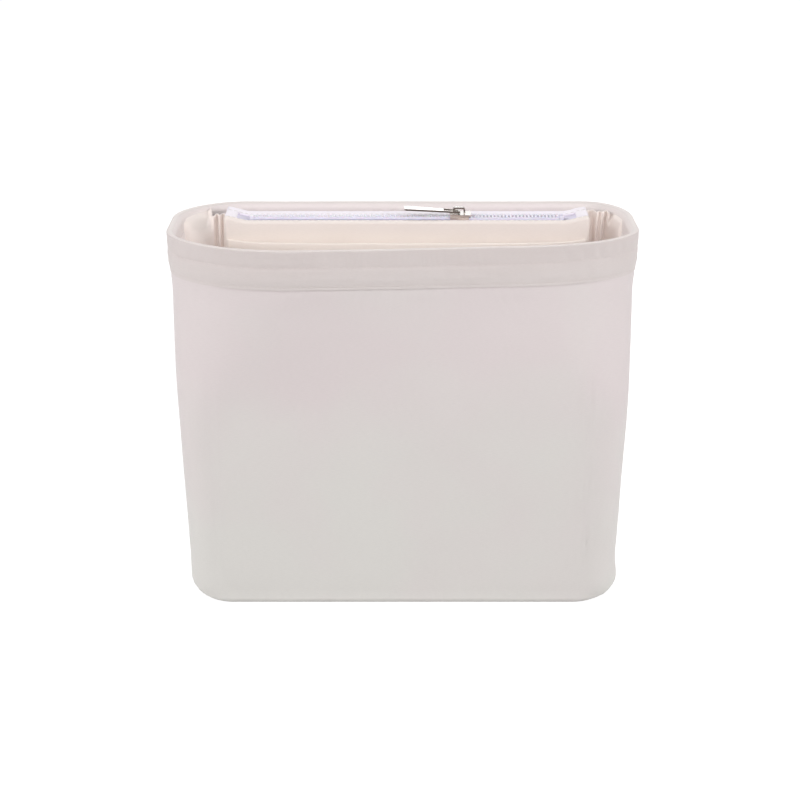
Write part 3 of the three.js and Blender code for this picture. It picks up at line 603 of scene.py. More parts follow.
wall_levels = np.concatenate([np.linspace(10 * MM, HEM_FOOT, 58), [HEM_FOOT + 8 * MM, WALL_TOP]])
outer_points = wall_layer(stations(26, 60, 24), (0.0, SATIN), wall_levels, outer_puff)
outer_wall = grid_piece("outer_wall_satin", outer_points, outer_satin, True, True)
sew_on(outer_wall, "outer_wall", (girth(outer_points, 40), HEIGHT + FOLD_FRONT))

# %% [markdown]
# The lining is the same loft further in. It lies on the boards without being pulled, so its
# waves are broader and softer than the outer skin's.

# %% Lining of the wall
CORE_IN = 2.4 * MM
LINING_OUT = 2.7 * MM
LINING_IN = 3.3 * MM
LINING_TOP = WALL_TOP - 1.8 * MM


def lining_puff(xyz, around):
    z = xyz[..., 2]
    upright = ease((z - 6 * MM) / (20 * MM)) * ease((HEM_FOOT - z) / (15 * MM))
    broad = ripples(around, z, (4, 16), 10, seed=12)
    gathers = ripples(around, z, (50, 90), 5, seed=13) * np.exp(-np.abs(HEM_FOOT - z) / (14 * MM))
    return -(0.25 * MM * (1 + broad) / 2 + 0.1 * MM * (1 + gathers)) * upright


lining_levels = np.concatenate([np.linspace(12 * MM, HEM_FOOT, 40), [LINING_TOP]])
lining_points = wall_layer(stations(20, 44, 18), (LINING_OUT, LINING_IN), lining_levels,
                           lining_puff)
lining_wall = grid_piece("lining_wall_satin", lining_points, lining_satin, True, True)
sew_on(lining_wall, "lining_wall", (girth(lining_points, 30), HEIGHT))

# %% [markdown]
# The hem is one strip folded over the rim. It is sewn through twice: once close below the fold,
# and once at its lower edge, which is pressed flat. Each seam pulls the cloth in a little, soft
# creases run between them, and the band above the upper seam puckers between the stitches. The
# fold is a narrow crest over the outer face, which catches the light, and its faces carry a
# painted highlight, lighter than the hem. It falls away inside in a long curve. Its leg inside the
# body is paler still, partly as a lining-like facing and partly as painted light on the inside.

# %% Rim hem
HEM_FACE = -0.9 * MM
HEM_INNER_FACE = 4.2 * MM
RIM_ROUND = 1.0 * MM
RIM_SLOPE = 4 * MM
UPPER_SEAM = HEIGHT - 9.5 * MM
LOWER_SEAM = HEM_FOOT + 1.6 * MM
SEAM_WIDTH = 0.9 * MM
UPPER_PULL, LOWER_PULL = 0.16, 0.1


def hem_relief(z, around, seed):
    """How far the hem's face stands proud between its seams."""
    seams = (UPPER_PULL * ridge(z, UPPER_SEAM, SEAM_WIDTH)
             + LOWER_PULL * ridge(z, LOWER_SEAM, SEAM_WIDTH))
    upper = ease((z - UPPER_SEAM) / (2 * MM)) * ease((HEIGHT - z) / (5 * MM))
    middle = ease((z - LOWER_SEAM) / (3 * MM)) * ease((UPPER_SEAM - z) / (3 * MM))
    share = np.clip((z - LOWER_SEAM) / (UPPER_SEAM - LOWER_SEAM), 0, 1)
    pillow = 0.3 * np.sin(np.pi * share) ** 0.8
    fine = ripples(around, z, (75, 140), 8, seed=seed)
    patches = np.clip(0.55 + 0.45 * ripples(around, z, (5, 17), 6, seed=seed + 2), 0, 1.6)
    wide = ripples(around, z, (30, 60), 10, seed=seed + 1)
    gathers = 0.24 * upper * fine * patches + 0.09 * middle * fine * patches
    creases = 0
    for rise, turns in ((3.5, (3, 9)), (7.5, (4, 11)), (13.5, (3, 10)), (17, (5, 12))):
        line = HEM_FOOT + MM * (rise + 1.1 * ripples(around, 0.0, turns, 0, seed=seed + int(rise)))
        depth = 0.5 + 0.5 * ripples(around, 0.0, (4, 14), 0, seed=seed + 3 + int(rise))
        creases = creases + np.clip(depth, 0, 1.3) * ridge(z, line, 1.1 * MM)
    return MM * (gathers + 0.09 * middle * wide + pillow - seams - 0.1 * creases)


def hem_line(station, around):
    """One upright section of the hem, as a closed loop of insets and heights."""
    top = HEIGHT + 0.05 * MM * (ripples(around, 0.0, (4, 15), 0, seed=21) - 1)
    face = np.linspace(HEM_FOOT, HEIGHT - RIM_ROUND, 30)
    turn = np.linspace(0, np.pi / 2, 6)[1:]
    round_z = top - RIM_ROUND * (1 - np.sin(turn))
    round_in = HEM_FACE + RIM_ROUND * (1 - np.cos(turn))
    fall = np.linspace(np.pi / 2, 0, 11)[1:-1]
    slope_z = top - RIM_SLOPE * (1 - np.sin(fall))
    slope_in = round_in[-1] + (HEM_INNER_FACE - round_in[-1]) * np.cos(fall)
    leg = np.linspace(HEIGHT - RIM_SLOPE, HEM_FOOT, 27)
    pressed = 0.25 * MM * (1 - ease((face - HEM_FOOT) / (6 * MM)))
    outside = HEM_FACE + pressed - hem_relief(face, around, seed=31)
    inside = HEM_INNER_FACE + hem_relief(leg, around, seed=41)
    back = np.linspace(HEM_FOOT, HEIGHT - RIM_SLOPE, 4)
    under = [HEIGHT - 1.3 * MM, HEIGHT - 1.2 * MM]
    insets = np.concatenate([
        outside, round_in, slope_in, inside, np.full(4, HEM_INNER_FACE - SATIN),
        [CORE_IN, HEM_FACE + SATIN], np.full(4, HEM_FACE + SATIN)])
    heights = np.concatenate([face, round_z, slope_z, leg, back, under, back[::-1]])
    return wall_point(*station, heights, insets)


hem_places = stations(44, 100, 40)
hem_points = np.stack([hem_line(s, k / len(hem_places)) for k, s in enumerate(hem_places)])
rim_hem = grid_piece("rim_hem_satin", hem_points, hem_satin, True, True)
# The crest's rows take the painted highlight, and the inside leg's rows take the painted light.
rim_hem.data.materials.append(crest_painted_highlight_satin)
rim_hem.data.materials.append(inner_painted_light_satin)
PAINTED_HIGHLIGHT_ROWS, PAINTED_LIGHT_ROWS = slice(31, 38), slice(38, 71)
hem_tones = np.zeros(hem_points.shape[1], dtype=np.int32)
hem_tones[PAINTED_HIGHLIGHT_ROWS] = 1
hem_tones[PAINTED_LIGHT_ROWS] = 2
rim_hem.data.polygons.foreach_set("material_index", np.tile(hem_tones, len(hem_points)))
HEM_STRIP = 2 * (HEIGHT - HEM_FOOT) + HEM_INNER_FACE - HEM_FACE
sew_on(rim_hem, "rim_hem", (girth(hem_points, 10), HEM_STRIP))

# %% [markdown]
# The base panels are cut to the outline inside the fold. Each is a fan of rings drawn in to the
# middle, and the lining's panel has a low swell between its edge and its centre.

# %% Base panels
SEAT = 0.3 * MM
BASE_RINGS = 14


def base_rings(bottom, top, swell):
    places = stations(12, 30, 12)
    edge = np.stack([wall_point(*s, np.float64(0), fold_radius(s[1]) + SEAT) for s in places])
    shares = np.concatenate([np.linspace(1, 0.04, BASE_RINGS), np.linspace(0.04, 1, BASE_RINGS)])
    lower = np.arange(2 * BASE_RINGS) < BASE_RINGS
    around = np.arange(len(places))[:, None] / len(places)
    points = edge[:, None, :] * shares[None, :, None]
    puff = swell * (1 - shares ** 6) * (1 + 0.4 * ripples(around, shares, (2, 6), 2, seed=51))
    points[..., 2] = np.where(lower, bottom, top) + puff
    return points


for name, node, heights, swell, slot_name, finish in (
        ("outer_base_satin", "outer_base", (0.0, SATIN), 0.0, "satin", outer_satin),
        ("lining_base_satin", "lining_base", (LINING_OUT, LINING_IN), 0.35 * MM, "lining",
         lining_satin)):
    panel = grid_piece(name, base_rings(*heights, swell), finish, True, True)
    sew_on(panel, node)

# %% [markdown]
# The pouch hangs from the wings at its ends, so its top edge sags a little between them. Each
# panel turns in at the top beside the zip, and its raw edge turns under again.

# %% Pouch panels
gusset_low, gusset_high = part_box("pouch_gusset")
POUCH_LEFT, POUCH_RIGHT, POUCH_BOTTOM = gusset_low.x, gusset_high.x, gusset_low.z
POUCH_FRONT, OPENING_FRONT = (corner.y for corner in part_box("pouch_front_panel"))
OPENING_BACK, POUCH_BACK = (corner.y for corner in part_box("pouch_back_panel"))
COIL_FOOT = 0.8 * MM
ZIP_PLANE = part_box("zip_coil_front")[0].z + COIL_FOOT
POUCH_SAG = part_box("pouch_front_panel")[1].z - ZIP_PLANE
RISE_LENGTH = 13.5 * MM
ZIP_LINE = (OPENING_FRONT + OPENING_BACK) / 2
PANEL_CLOTH = 0.5 * MM
TURN_ROUND = 1.8 * MM
RAW_EDGE_ROUND = 0.65 * MM


def pouch_top(x):
    past = np.maximum(np.maximum(POUCH_LEFT + RISE_LENGTH - x, x - POUCH_RIGHT + RISE_LENGTH), 0)
    return ZIP_PLANE + POUCH_SAG * ease(past / RISE_LENGTH)


def arc(centre_y, centre_z, radius, start, end, steps):
    angle = np.radians(np.linspace(start, end, steps))
    return np.stack([centre_y + radius * np.cos(angle), centre_z + radius * np.sin(angle)], -1)


def panel_section(turned):
    """Up the face, round the fold, in to the zip and back under, as Y from the face and Z from
    the top."""
    half = PANEL_CLOTH / 2
    under = half - 2 * RAW_EDGE_ROUND
    return np.concatenate([
        np.linspace((half, POUCH_BOTTOM - ZIP_PLANE), (half, -TURN_ROUND), 46),
        arc(TURN_ROUND, -TURN_ROUND, TURN_ROUND - half, 180, 90, 7)[1:],
        np.linspace((TURN_ROUND, -half), (turned - half, -half), 8)[1:],
        arc(turned - half, -RAW_EDGE_ROUND, RAW_EDGE_ROUND - half, 90, -90, 6)[1:],
        np.linspace((turned - half, under), (2.2 * MM, under), 5)[1:]])


def pouch_panel(name, face, inward, turned, seed, finish):
    section = panel_section(turned)
    x = np.linspace(POUCH_LEFT, POUCH_RIGHT, 130)[:, None]
    top = pouch_top(x)
    depth, z = section[None, :, 0], section[None, :, 1]
    stretch = np.where(z < -TURN_ROUND, (top - POUCH_BOTTOM) / (ZIP_PLANE - POUCH_BOTTOM), 1.0)
    height = top + z * stretch
    around = (x - POUCH_LEFT) / (POUCH_RIGHT - POUCH_LEFT)
    slack = ease((-z - 1 * MM) / (20 * MM)) * ease((height - POUCH_BOTTOM) / (20 * MM))
    puckers = 0.05 * MM * ripples(around, z, (30, 55), 10, seed=seed) * ridge(z, 0, 3 * MM)
    y = face + inward * (depth + 0.2 * MM * slack * ripples(around, z, (2, 7), 8, seed=seed + 1))
    return grid_piece(name, at(x, y, height + puckers), finish, sharp=70, thickness=PANEL_CLOTH)


pouch_length = POUCH_RIGHT - POUCH_LEFT
for name, node, face, opening, inward, seed, finish in (
        ("pouch_front_satin", "pouch_front_panel", POUCH_FRONT, OPENING_FRONT, 1, 61, pouch_satin),
        ("pouch_back_satin", "pouch_back_panel", POUCH_BACK, OPENING_BACK, -1, 71, tab_satin)):
    turned = inward * (opening - face)
    sew_on(pouch_panel(name, face, inward, turned, seed, finish), node,
           (pouch_length, ZIP_PLANE - POUCH_BOTTOM + 2 * turned))

# %% [markdown]
# One strip of cloth joins the two panels: down one end of the pouch, along its floor and up the
# other end. It is swept along that path, with soft bends at the two lower corners.

# %% Pouch gusset
GUSSET_CLOTH = 0.6 * MM
GUSSET_BEND = 5 * MM


def gusset_path():
    left, right = POUCH_LEFT + GUSSET_CLOTH / 2, POUCH_RIGHT - GUSSET_CLOTH / 2
    floor, top = POUCH_BOTTOM + GUSSET_CLOTH / 2, gusset_high.z
    bend = floor + GUSSET_BEND
    return np.concatenate([
        np.linspace((left, top), (left, bend), 40),
        arc(left + GUSSET_BEND, bend, GUSSET_BEND, 180, 270, 8)[1:-1],
        np.linspace((left + GUSSET_BEND, floor), (right - GUSSET_BEND, floor), 60),
        arc(right - GUSSET_BEND, bend, GUSSET_BEND, 270, 360, 8)[1:-1],
        np.linspace((right, top), (right, bend), 40)[::-1]])


path = gusset_path()
gusset_y = np.linspace(gusset_low.y, gusset_high.y, 14)
gusset = grid_piece("pouch_gusset_satin", at(path[:, None, 0], gusset_y, path[:, None, 1]),
                    pouch_satin, thickness=GUSSET_CLOTH)
sew_on(gusset, "pouch_gusset", (run_length(path), float(np.ptp(gusset_y))))

# %% [markdown]
# The slip pocket is a sheet sewn to the pouch's front by its ends and foot. It is cut a little
# wider than the pouch, so its hemmed mouth bows out and sags between its ends.

# %% Slip pocket
slip_low, slip_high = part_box("slip_pocket")
SLIP_LEFT, SLIP_RIGHT, SLIP_FOOT = slip_low.x, slip_high.x, slip_low.z
SLIP_CLOTH = 0.5 * MM
SLIP_DROP = 11.2 * MM
SLIP_GAPE = POUCH_FRONT - SEAT - SATIN - slip_low.y
SLIP_HEM = 9 * MM
SLIP_TURN = 0.5 * MM


def slip_bow(x):
    half = (SLIP_RIGHT - SLIP_LEFT) / 2
    return 1 - np.abs((x - (SLIP_LEFT + half)) / half) ** 4


def slip_section():
    """Share of the way up to the mouth, distance past it, and distance behind the face."""
    turn = np.radians(np.linspace(180, 0, 8)[1:])
    up = np.linspace((0, 0, 0), (1, 0, 0), 48)
    over = at(1, SLIP_TURN * np.sin(turn), SLIP_TURN * (1 + np.cos(turn)))
    down = np.linspace((1, 0, 2 * SLIP_TURN), (1, -SLIP_HEM, 2 * SLIP_TURN), 8)[1:]
    return np.concatenate([up, over, down]).T


x = np.linspace(SLIP_LEFT, SLIP_RIGHT, 150)[:, None]
share, past, behind = slip_section()
mouth = ZIP_PLANE + 0.35 * (pouch_top(x) - ZIP_PLANE) - SLIP_DROP - SLIP_TURN
height = SLIP_FOOT + (mouth - SLIP_FOOT) * share + past
along = (x - SLIP_LEFT) / (SLIP_RIGHT - SLIP_LEFT)
near_hem = ease((height - mouth + 40 * MM) / (30 * MM)) * slip_bow(x)
slack = 0.35 * MM * near_hem * ripples(along, height, (2, 9), 6, seed=81)
seam = 0.22 * MM * ridge(height, mouth - SLIP_HEM + 1.2 * MM, 0.8 * MM)
gape = SLIP_GAPE * slip_bow(x) * (height - SLIP_FOOT) / (mouth - SLIP_FOOT)
face = POUCH_FRONT - SEAT - SLIP_CLOTH / 2 - gape
slip_pocket = grid_piece("slip_pocket_satin", at(x, face + behind + seam - slack, height),
                         pouch_satin, thickness=SLIP_CLOTH)
sew_on(slip_pocket, "slip_pocket",
       (SLIP_RIGHT - SLIP_LEFT + 1 * MM, ZIP_PLANE - SLIP_DROP - SLIP_FOOT + SLIP_HEM + SLIP_TURN))

# %% [markdown]
# A wing hangs the pouch from each side wall, and its pleats let the pouch swing open. The cloth
# runs back along the pouch's end and folds into a few shallow pleats. From the last one a leg
# crosses to the side wall. Under the rim it lies against the back corner, tucked into the hem's
# slope, and lower down it slopes forward like a scoop. Where the body narrows, the pleats stand
# closer.

# %% Pleated wings
WING_CLOTH = 0.5 * MM
PLEAT_RUNS = {
    -1: ((-0.33, 18.3), (-0.32, 22), (-0.1, 26.5), (0.5, 28.6), (1.5, 28.8), (2.3, 26.6),
         (2.9, 25.4), (3.5, 26.6), (4.2, 28.7), (4.9, 28.9), (5.5, 27.4), (6.2, 25.9)),
    1: ((-0.33, 18.3), (-0.32, 26), (-0.05, 34.5), (0.6, 37.6), (2.4, 38.2), (3.8, 37.6),
        (4.5, 34.6), (5.2, 32.4), (5.9, 33.4), (6.8, 34.8), (7.7, 33.8), (8.4, 32.6),
        (9.1, 33.6), (10.2, 36.2), (11, 36.4), (11.6, 34.8), (12.3, 33.7)),
}
LEG_RUNS = {-1: ((7, 27.2), (7.6, 30), (8.1, 34)), 1: ((12.9, 35),)}
WING_START = SEAT + 0.3 * MM
LEG_DIP = {-1: 0.33, 1: 0.4}
LEG_END = 20 * MM
LEG_DEPTH = HEM_INNER_FACE + 0.8 * MM
TUCKED_DEPTH = 2.5 * MM
TUCK_FROM = 198.5 * MM
WALL_GAP = 1.2 * MM
LEG_STEPS = 34
SCOOP = 11 * MM
PLEAT_LEAN = {-1: 0.55, 1: 0.4}
WING_FOOT, WING_TOP = (corner.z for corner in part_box("left_wing"))


def smooth_run(points, steps):
    """A smooth curve through points, with so many places from each to the next."""
    p = np.asarray(points)
    p = np.concatenate([[2 * p[0] - p[1]], p, [2 * p[-1] - p[-2]]])
    t = np.linspace(0, 1, steps, endpoint=False)[:, None]
    spans = [0.5 * (2 * b + (c - a) * t + (2 * a - 5 * b + 4 * c - d) * t ** 2
                    + (3 * b - a - 3 * c + d) * t ** 3)
             for a, b, c, d in zip(p[:-3], p[1:-2], p[2:-1], p[3:])]
    return np.concatenate(spans + [p[-2:-1]])


def corner_run(side, z):
    """The wall's inside from the back wall round the corner and forward along the side."""
    depth = LEG_DEPTH + (TUCKED_DEPTH - LEG_DEPTH) * ease((z - TUCK_FROM) / (4 * MM))
    if side > 0:
        corner, turn, before, runs = 0, np.linspace(1, 0, 33), 3, np.linspace(1, 0.2, 17)
    else:
        corner, turn, before, runs = 1, np.linspace(1, 2, 33), 1, np.linspace(0, 0.8, 17)
    places = [(corner, a * np.pi / 2, 0) for a in turn]
    places += [(before, (before + 1) * np.pi / 2, run) for run in runs[1:]]
    return np.array([wall_point(*place, np.float64(z), depth)[:2] for place in places])


def evenly(points, count):
    lengths = np.concatenate([[0], np.cumsum(np.linalg.norm(np.diff(points, axis=0), axis=1))])
    places = np.linspace(0, lengths[-1], count)
    return np.stack([np.interp(places, lengths, points[:, k]) for k in (0, 1)], -1)


def wing_line(side, z):
    """The wing's plan at one height: its pleats, then its leg round the corner."""
    start = (POUCH_LEFT if side < 0 else POUCH_RIGHT) + side * WING_START
    wall = corner_run(side, z)
    run, tail = np.array(PLEAT_RUNS[side]) * MM, np.array(LEG_RUNS[side]) * MM
    order = np.argsort(wall[:, 1])
    room = side * (np.interp(run[-1, 1], wall[order, 1], wall[order, 0]) - start) - WALL_GAP
    squeeze = min(1, room / (tail[-1, 0] + WALL_GAP))
    lean = 1 - PLEAT_LEAN[side] * ease((WING_TOP - z) / (35 * MM))
    front = run[0, 1]
    pleats, tail = (
        np.stack([start + side * part[:, 0] * squeeze, front + (part[:, 1] - front) * lean], -1)
        for part in (run, tail))
    meets = np.searchsorted(side * wall[:, 0], side * tail[-1, 0] + 1.3 * MM)
    ends = np.searchsorted(-wall[:, 1], -LEG_END)
    hugging = np.concatenate([pleats[-1:], tail, wall[min(meets, 30):ends + 1]])
    hugging = evenly(hugging, LEG_STEPS)
    share = np.linspace(0, 1, LEG_STEPS)[:, None]
    buried = side * 1.8 * MM * ease((share - 0.85) / 0.15) * np.array([[1, 0]])
    across = pleats[-1] + (hugging[-1] - pleats[-1]) * share
    leg = across + (hugging - across) * ease((z - WING_TOP + SCOOP) / SCOOP) + buried
    return smooth_run(np.concatenate([pleats, leg[1:]]), 4)


def wing_points(side, seed):
    heights = np.concatenate([np.linspace(WING_FOOT, WING_TOP - 9 * MM, 46),
                              np.linspace(WING_TOP - 8 * MM, WING_TOP, 12)])
    lines = np.stack([wing_line(side, z) for z in heights], 1)
    run = np.arange(len(lines))[:, None] / len(lines)
    pleats = ease(run / 0.1) * (1 - ease((run - 0.25) / 0.1))
    pleats = pleats * ease((heights - WING_FOOT) / (15 * MM))
    sway_x = 0.12 * MM * pleats * ripples(run * 0.4, heights, (1, 3), 7, seed=seed)
    sway_y = 0.3 * MM * pleats * ripples(run, heights, (1, 4), 6, seed=seed + 1)
    x, y = lines[..., 0] + sway_x, lines[..., 1] + sway_y
    dip = ridge(run, LEG_DIP[side], 0.07) * ease((heights - WING_TOP + 12 * MM) / (12 * MM))
    return at(x, y, heights - 2.2 * MM * dip)


for side, name, seed in ((-1, "left_wing", 91), (1, "right_wing", 95)):
    points = wing_points(side, seed)
    wing = grid_piece(name + "_satin", points, lining_satin, sharp=80, thickness=WING_CLOTH)
    sew_on(wing, name, (run_length(points[:, 30]), WING_TOP - WING_FOOT))
print("wings", [round(float(v), 1) for v in np.ptp(points.reshape(-1, 3), axis=0) / MM])

# %% [markdown]
# A nylon zip has two woven tapes with a row of teeth along each. Left of the slider the rows
# mesh. Inside it a wedge parts them, and right of it they lie apart. One function gives how far
# each row stands from the middle line, and both tapes and teeth follow it.

# %% Zip: parting and tapes
SLIDER_X = 32 * MM
SLIDER_HALF = 6 * MM
TOOTH_REACH = 0.75 * MM
PARTED_FULL = 1.6 * MM
PARTED_REST = 1.05 * MM
TAPE_TOP = 1.1 * MM
TAPE_CLOTH = 0.6 * MM
TAPE_EDGE = 0.9 * MM
TAPE_INSET = 2.3 * MM


def parting(x):
    inside = x - SLIDER_X
    opening = ease((inside + SLIDER_HALF * 2 / 3) / SLIDER_HALF)
    settling = ease((inside - SLIDER_HALF) / SLIDER_HALF)
    return opening * (PARTED_FULL + (PARTED_REST - PARTED_FULL) * settling)


STOPS = (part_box("zip_bottom_stop")[0].x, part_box("zip_top_stop_front")[1].x)


def tape_closing(x):
    """The tapes come together under the tabs, past the stops."""
    past_right = ease((x - STOPS[1]) / (4 * MM)) * (PARTED_REST + TAPE_EDGE)
    past_left = ease((STOPS[0] - x) / (3 * MM)) * TAPE_EDGE
    slit = 0.04 * MM * (ease((x - STOPS[1]) / MM) + ease((STOPS[0] - x) / MM))
    return past_right + past_left - slit


def close_ends(piece):
    """Fills the two open ends of a swept piece."""
    shape = bmesh.new()
    shape.from_mesh(piece.data)
    bmesh.ops.holes_fill(shape, edges=[e for e in shape.edges if e.is_boundary])
    bmesh.ops.recalc_face_normals(shape, faces=shape.faces)
    shape.to_mesh(piece.data)
    shape.free()
    return piece


across = np.linspace(0, 1, 10)
share = np.concatenate([across, across[::-1]])
lift = np.repeat([0, -TAPE_CLOTH], 10)
for side, name in ((-1, "zip_tape_front"), (1, "zip_tape_back")):
    low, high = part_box(name)
    x = np.linspace(low.x, high.x, 260)[:, None]
    outer = POUCH_FRONT + TAPE_INSET if side < 0 else POUCH_BACK - TAPE_INSET
    inner = ZIP_LINE + side * (TAPE_EDGE + parting(x) - tape_closing(x))
    points = at(x, outer + (inner - outer) * share, pouch_top(x) - TAPE_TOP + lift)
    tape = close_ends(grid_piece(name + "_webbing", points, tape_finish, wrap_rows=True))
    sew_on(tape, name)

# %% [markdown]
# A tooth is a bar of nylon with a wide head that hooks behind its two neighbours. One tooth is
# drawn and rounded, and Geometry Nodes set a copy on each point of a row, so that pitch and
# parting stay in one place. A rounded bar ties each row together at the back.

# %% One tooth
TOOTH_PITCH = 2 * MM
TOOTH_NECK = 0.22 * MM
TOOTH_BAR = 0.52 * MM
TOOTH_HEAD = 0.5 * MM
TOOTH_TIP = 0.325 * MM
COIL_HEIGHT = 2 * MM
COIL_BACK = 1.3 * MM
COIL_OUTER = 2.6 * MM
TOOTH_ROUND = 0.14 * MM


def mesh_of(shape, name, sharp):
    """A smooth mesh from a bmesh shape, with its edges past an angle left sharp."""
    mesh = bpy.data.meshes.new(name)
    shape.to_mesh(mesh)
    shape.free()
    mesh.shade_smooth()
    mesh.set_sharp_from_angle(angle=math.radians(sharp))
    return mesh


def tooth_object(side):
    """The tooth as an outline in plan, drawn up to its height and rounded."""
    half = [(0.8 * TOOTH_BAR, COIL_OUTER), (TOOTH_BAR, COIL_OUTER - 0.3 * MM),
            (TOOTH_BAR, 1.2 * MM), (TOOTH_NECK, 0.85 * MM), (TOOTH_NECK, -0.05 * MM),
            (TOOTH_HEAD, -0.3 * MM), (TOOTH_TIP, -TOOTH_REACH)]
    outline = [(x, side * y) for x, y in half] + [(-x, side * y) for x, y in reversed(half)]
    shape = bmesh.new()
    ring = [shape.verts.new((x, y, 0)) for x, y in outline]
    face = shape.faces.new(ring)
    drawn_up = bmesh.ops.extrude_face_region(shape, geom=[face])["geom"]
    top = [v for v in drawn_up if isinstance(v, bmesh.types.BMVert)]
    bmesh.ops.translate(shape, vec=(0, 0, COIL_HEIGHT), verts=top)
    bmesh.ops.recalc_face_normals(shape, faces=shape.faces)
    rims = [e for e in shape.edges if abs(e.verts[0].co.z - e.verts[1].co.z) < 1e-6]
    bmesh.ops.bevel(shape, geom=rims, offset=TOOTH_ROUND, segments=2, profile=0.5, affect="EDGES",
                    clamp_overlap=True)
    return bpy.data.objects.new("tooth", mesh_of(shape, "tooth", 50))


# %% Trees that repeat a shape
def line_tree(name, **inputs):
    """A tree on a line of points, and its inputs: the line, the finish and any others by name."""
    tree = bpy.data.node_groups.new(name, "GeometryNodeTree")
    for label, kind in {"Geometry": "Geometry", **inputs, "Finish": "Material"}.items():
        tree.interface.new_socket(label, in_out="INPUT", socket_type="NodeSocket" + kind)
    return tree, add(tree, "NodeGroupInput").outputs


def copies_on(tree, source, copies):
    """Ends a tree with its copies made real and dressed in the finish."""
    placed = add(tree, "GeometryNodeInstanceOnPoints", copies).outputs[0]
    real = add(tree, "GeometryNodeRealizeInstances", {"Geometry": placed}).outputs[0]
    dressed = add(tree, "GeometryNodeSetMaterial",
                  {"Geometry": real, "Material": source["Finish"]}).outputs[0]
    tree.interface.new_socket("Geometry", in_out="OUTPUT", socket_type="NodeSocketGeometry")
    add(tree, "NodeGroupOutput", {"Geometry": dressed})
    return tree


def teeth_tree():
    """Sets a copy of a shape on every point."""
    tree, source = line_tree("teeth_on_tape", Tooth="Object")
    shape = add(tree, "GeometryNodeObjectInfo", {"Object": source["Tooth"]}).outputs["Geometry"]
    return copies_on(tree, source, {"Points": source["Geometry"], "Instance": shape})


def stitch_tree():
    """Lays elongated beads of thread along a line, one to each length of stitch."""
    tree, source = line_tree("stitches_on_line",
                             **{"Stitch Length": "Float", "Thread Radius": "Float"})
    line = add(tree, "GeometryNodeMeshToCurve", {"Mesh": source["Geometry"]}).outputs[0]
    marks = add(tree, "GeometryNodeCurveToPoints",
                {"Curve": line, "Length": source["Stitch Length"]}, mode="LENGTH").outputs
    bead = add(tree, "GeometryNodeMeshUVSphere",
               {"Segments": 6, "Rings": 4, "Radius": source["Thread Radius"]}).outputs["Mesh"]
    stretch = sums(tree, "DIVIDE", source["Stitch Length"], source["Thread Radius"])
    reach = sums(tree, "MULTIPLY", stretch, 0.4)
    size = add(tree, "ShaderNodeCombineXYZ", {"X": 1.0, "Y": 1.0, "Z": reach}).outputs[0]
    return copies_on(tree, source, {"Points": marks["Points"], "Instance": bead,
                                    "Rotation": marks["Rotation"], "Scale": size})


def grow(name, points, closed, tree, values):
    """Runs a tree on a line of points and keeps the result as a plain mesh piece."""
    count = len(points)
    links = [(k, (k + 1) % count) for k in range(count if closed else count - 1)]
    mesh = bpy.data.meshes.new(name + "_line")
    mesh.from_pydata([tuple(p) for p in points], links, [])
    line = in_scene(name + "_line", mesh)
    modifier = line.modifiers.new("grow", "NODES")
    modifier.node_group = tree
    for item in tree.interface.items_tree:
        if item.in_out == "INPUT" and item.name in values:
            modifier[item.identifier] = values[item.name]
    ready = line.evaluated_get(bpy.context.evaluated_depsgraph_get())
    result = bpy.data.meshes.new_from_object(ready)
    result.name = name
    bpy.data.objects.remove(line)
    return in_scene(name, result)


teeth_on_tape = teeth_tree()
stitches_on_line = stitch_tree()
print("trees", [tree.name for tree in bpy.data.node_groups])

# %% Teeth and their backs
COIL_LEFT, COIL_RIGHT = (corner.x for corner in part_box("zip_coil_front"))


def coil_back(side):
    """A rounded bar along the outer side of a row."""
    x = np.linspace(COIL_LEFT, COIL_RIGHT, 240)[:, None]
    angle = np.linspace(0, 2 * np.pi, 12, endpoint=False)
    round_y, round_z = (np.sign(v) * np.abs(v) ** 0.6 for v in (np.cos(angle), np.sin(angle)))
    middle = (COIL_BACK + COIL_OUTER) / 2
    y = ZIP_LINE + side * (middle + parting(x) + (COIL_OUTER - COIL_BACK) / 2 * round_y)
    return at(x, y, ZIP_PLANE - COIL_FOOT + 0.38 * COIL_HEIGHT * (1 + round_z))


for side, node in ((-1, "zip_coil_front"), (1, "zip_coil_back")):
    first = COIL_LEFT + TOOTH_HEAD + (0 if side < 0 else TOOTH_PITCH / 2)
    x = np.arange(first, COIL_RIGHT - TOOTH_HEAD, TOOTH_PITCH)
    row = at(x, ZIP_LINE + side * parting(x), ZIP_PLANE - COIL_FOOT)
    teeth = grow(node.replace("coil", "teeth"), row, False, teeth_on_tape,
                 {"Tooth": tooth_object(side), "Finish": nylon_finish})
    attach(teeth, "insert")
    bar = grid_piece(node.replace("coil", "coil_core"), coil_back(side), nylon_finish,
                     wrap_rows=True)
    sew_on(close_ends(bar), node)
    print(teeth.name, len(row), "teeth", len(teeth.data.polygons), "faces")

# %% [markdown]
# The tabs at the zip's ends are strips of satin folded over the tapes. Each turns down at its
# outer edge, where it is sewn to the pouch's end.

# %% Zip tabs
TAB_CLOTH = 0.4 * MM
TAB_BEND = 0.6 * MM
TAB_FOLD = 0.4 * MM


def tab_section(length):
    """Distance inward from the outer edge and depth from the top, along the folded strip."""
    half = TAB_CLOTH / 2
    inner, under = length - TAB_FOLD, half - 2 * TAB_FOLD
    return np.concatenate([
        np.linspace((half, -1.9 * MM), (half, -TAB_BEND), 4),
        arc(TAB_BEND, -TAB_BEND, TAB_BEND - half, 180, 90, 6)[1:],
        np.linspace((TAB_BEND, -half), (inner, -half), 10)[1:],
        arc(inner, -TAB_FOLD, TAB_FOLD - half, 90, -90, 7)[1:],
        np.linspace((inner, under), (1.8 * MM, under), 8)[1:]])


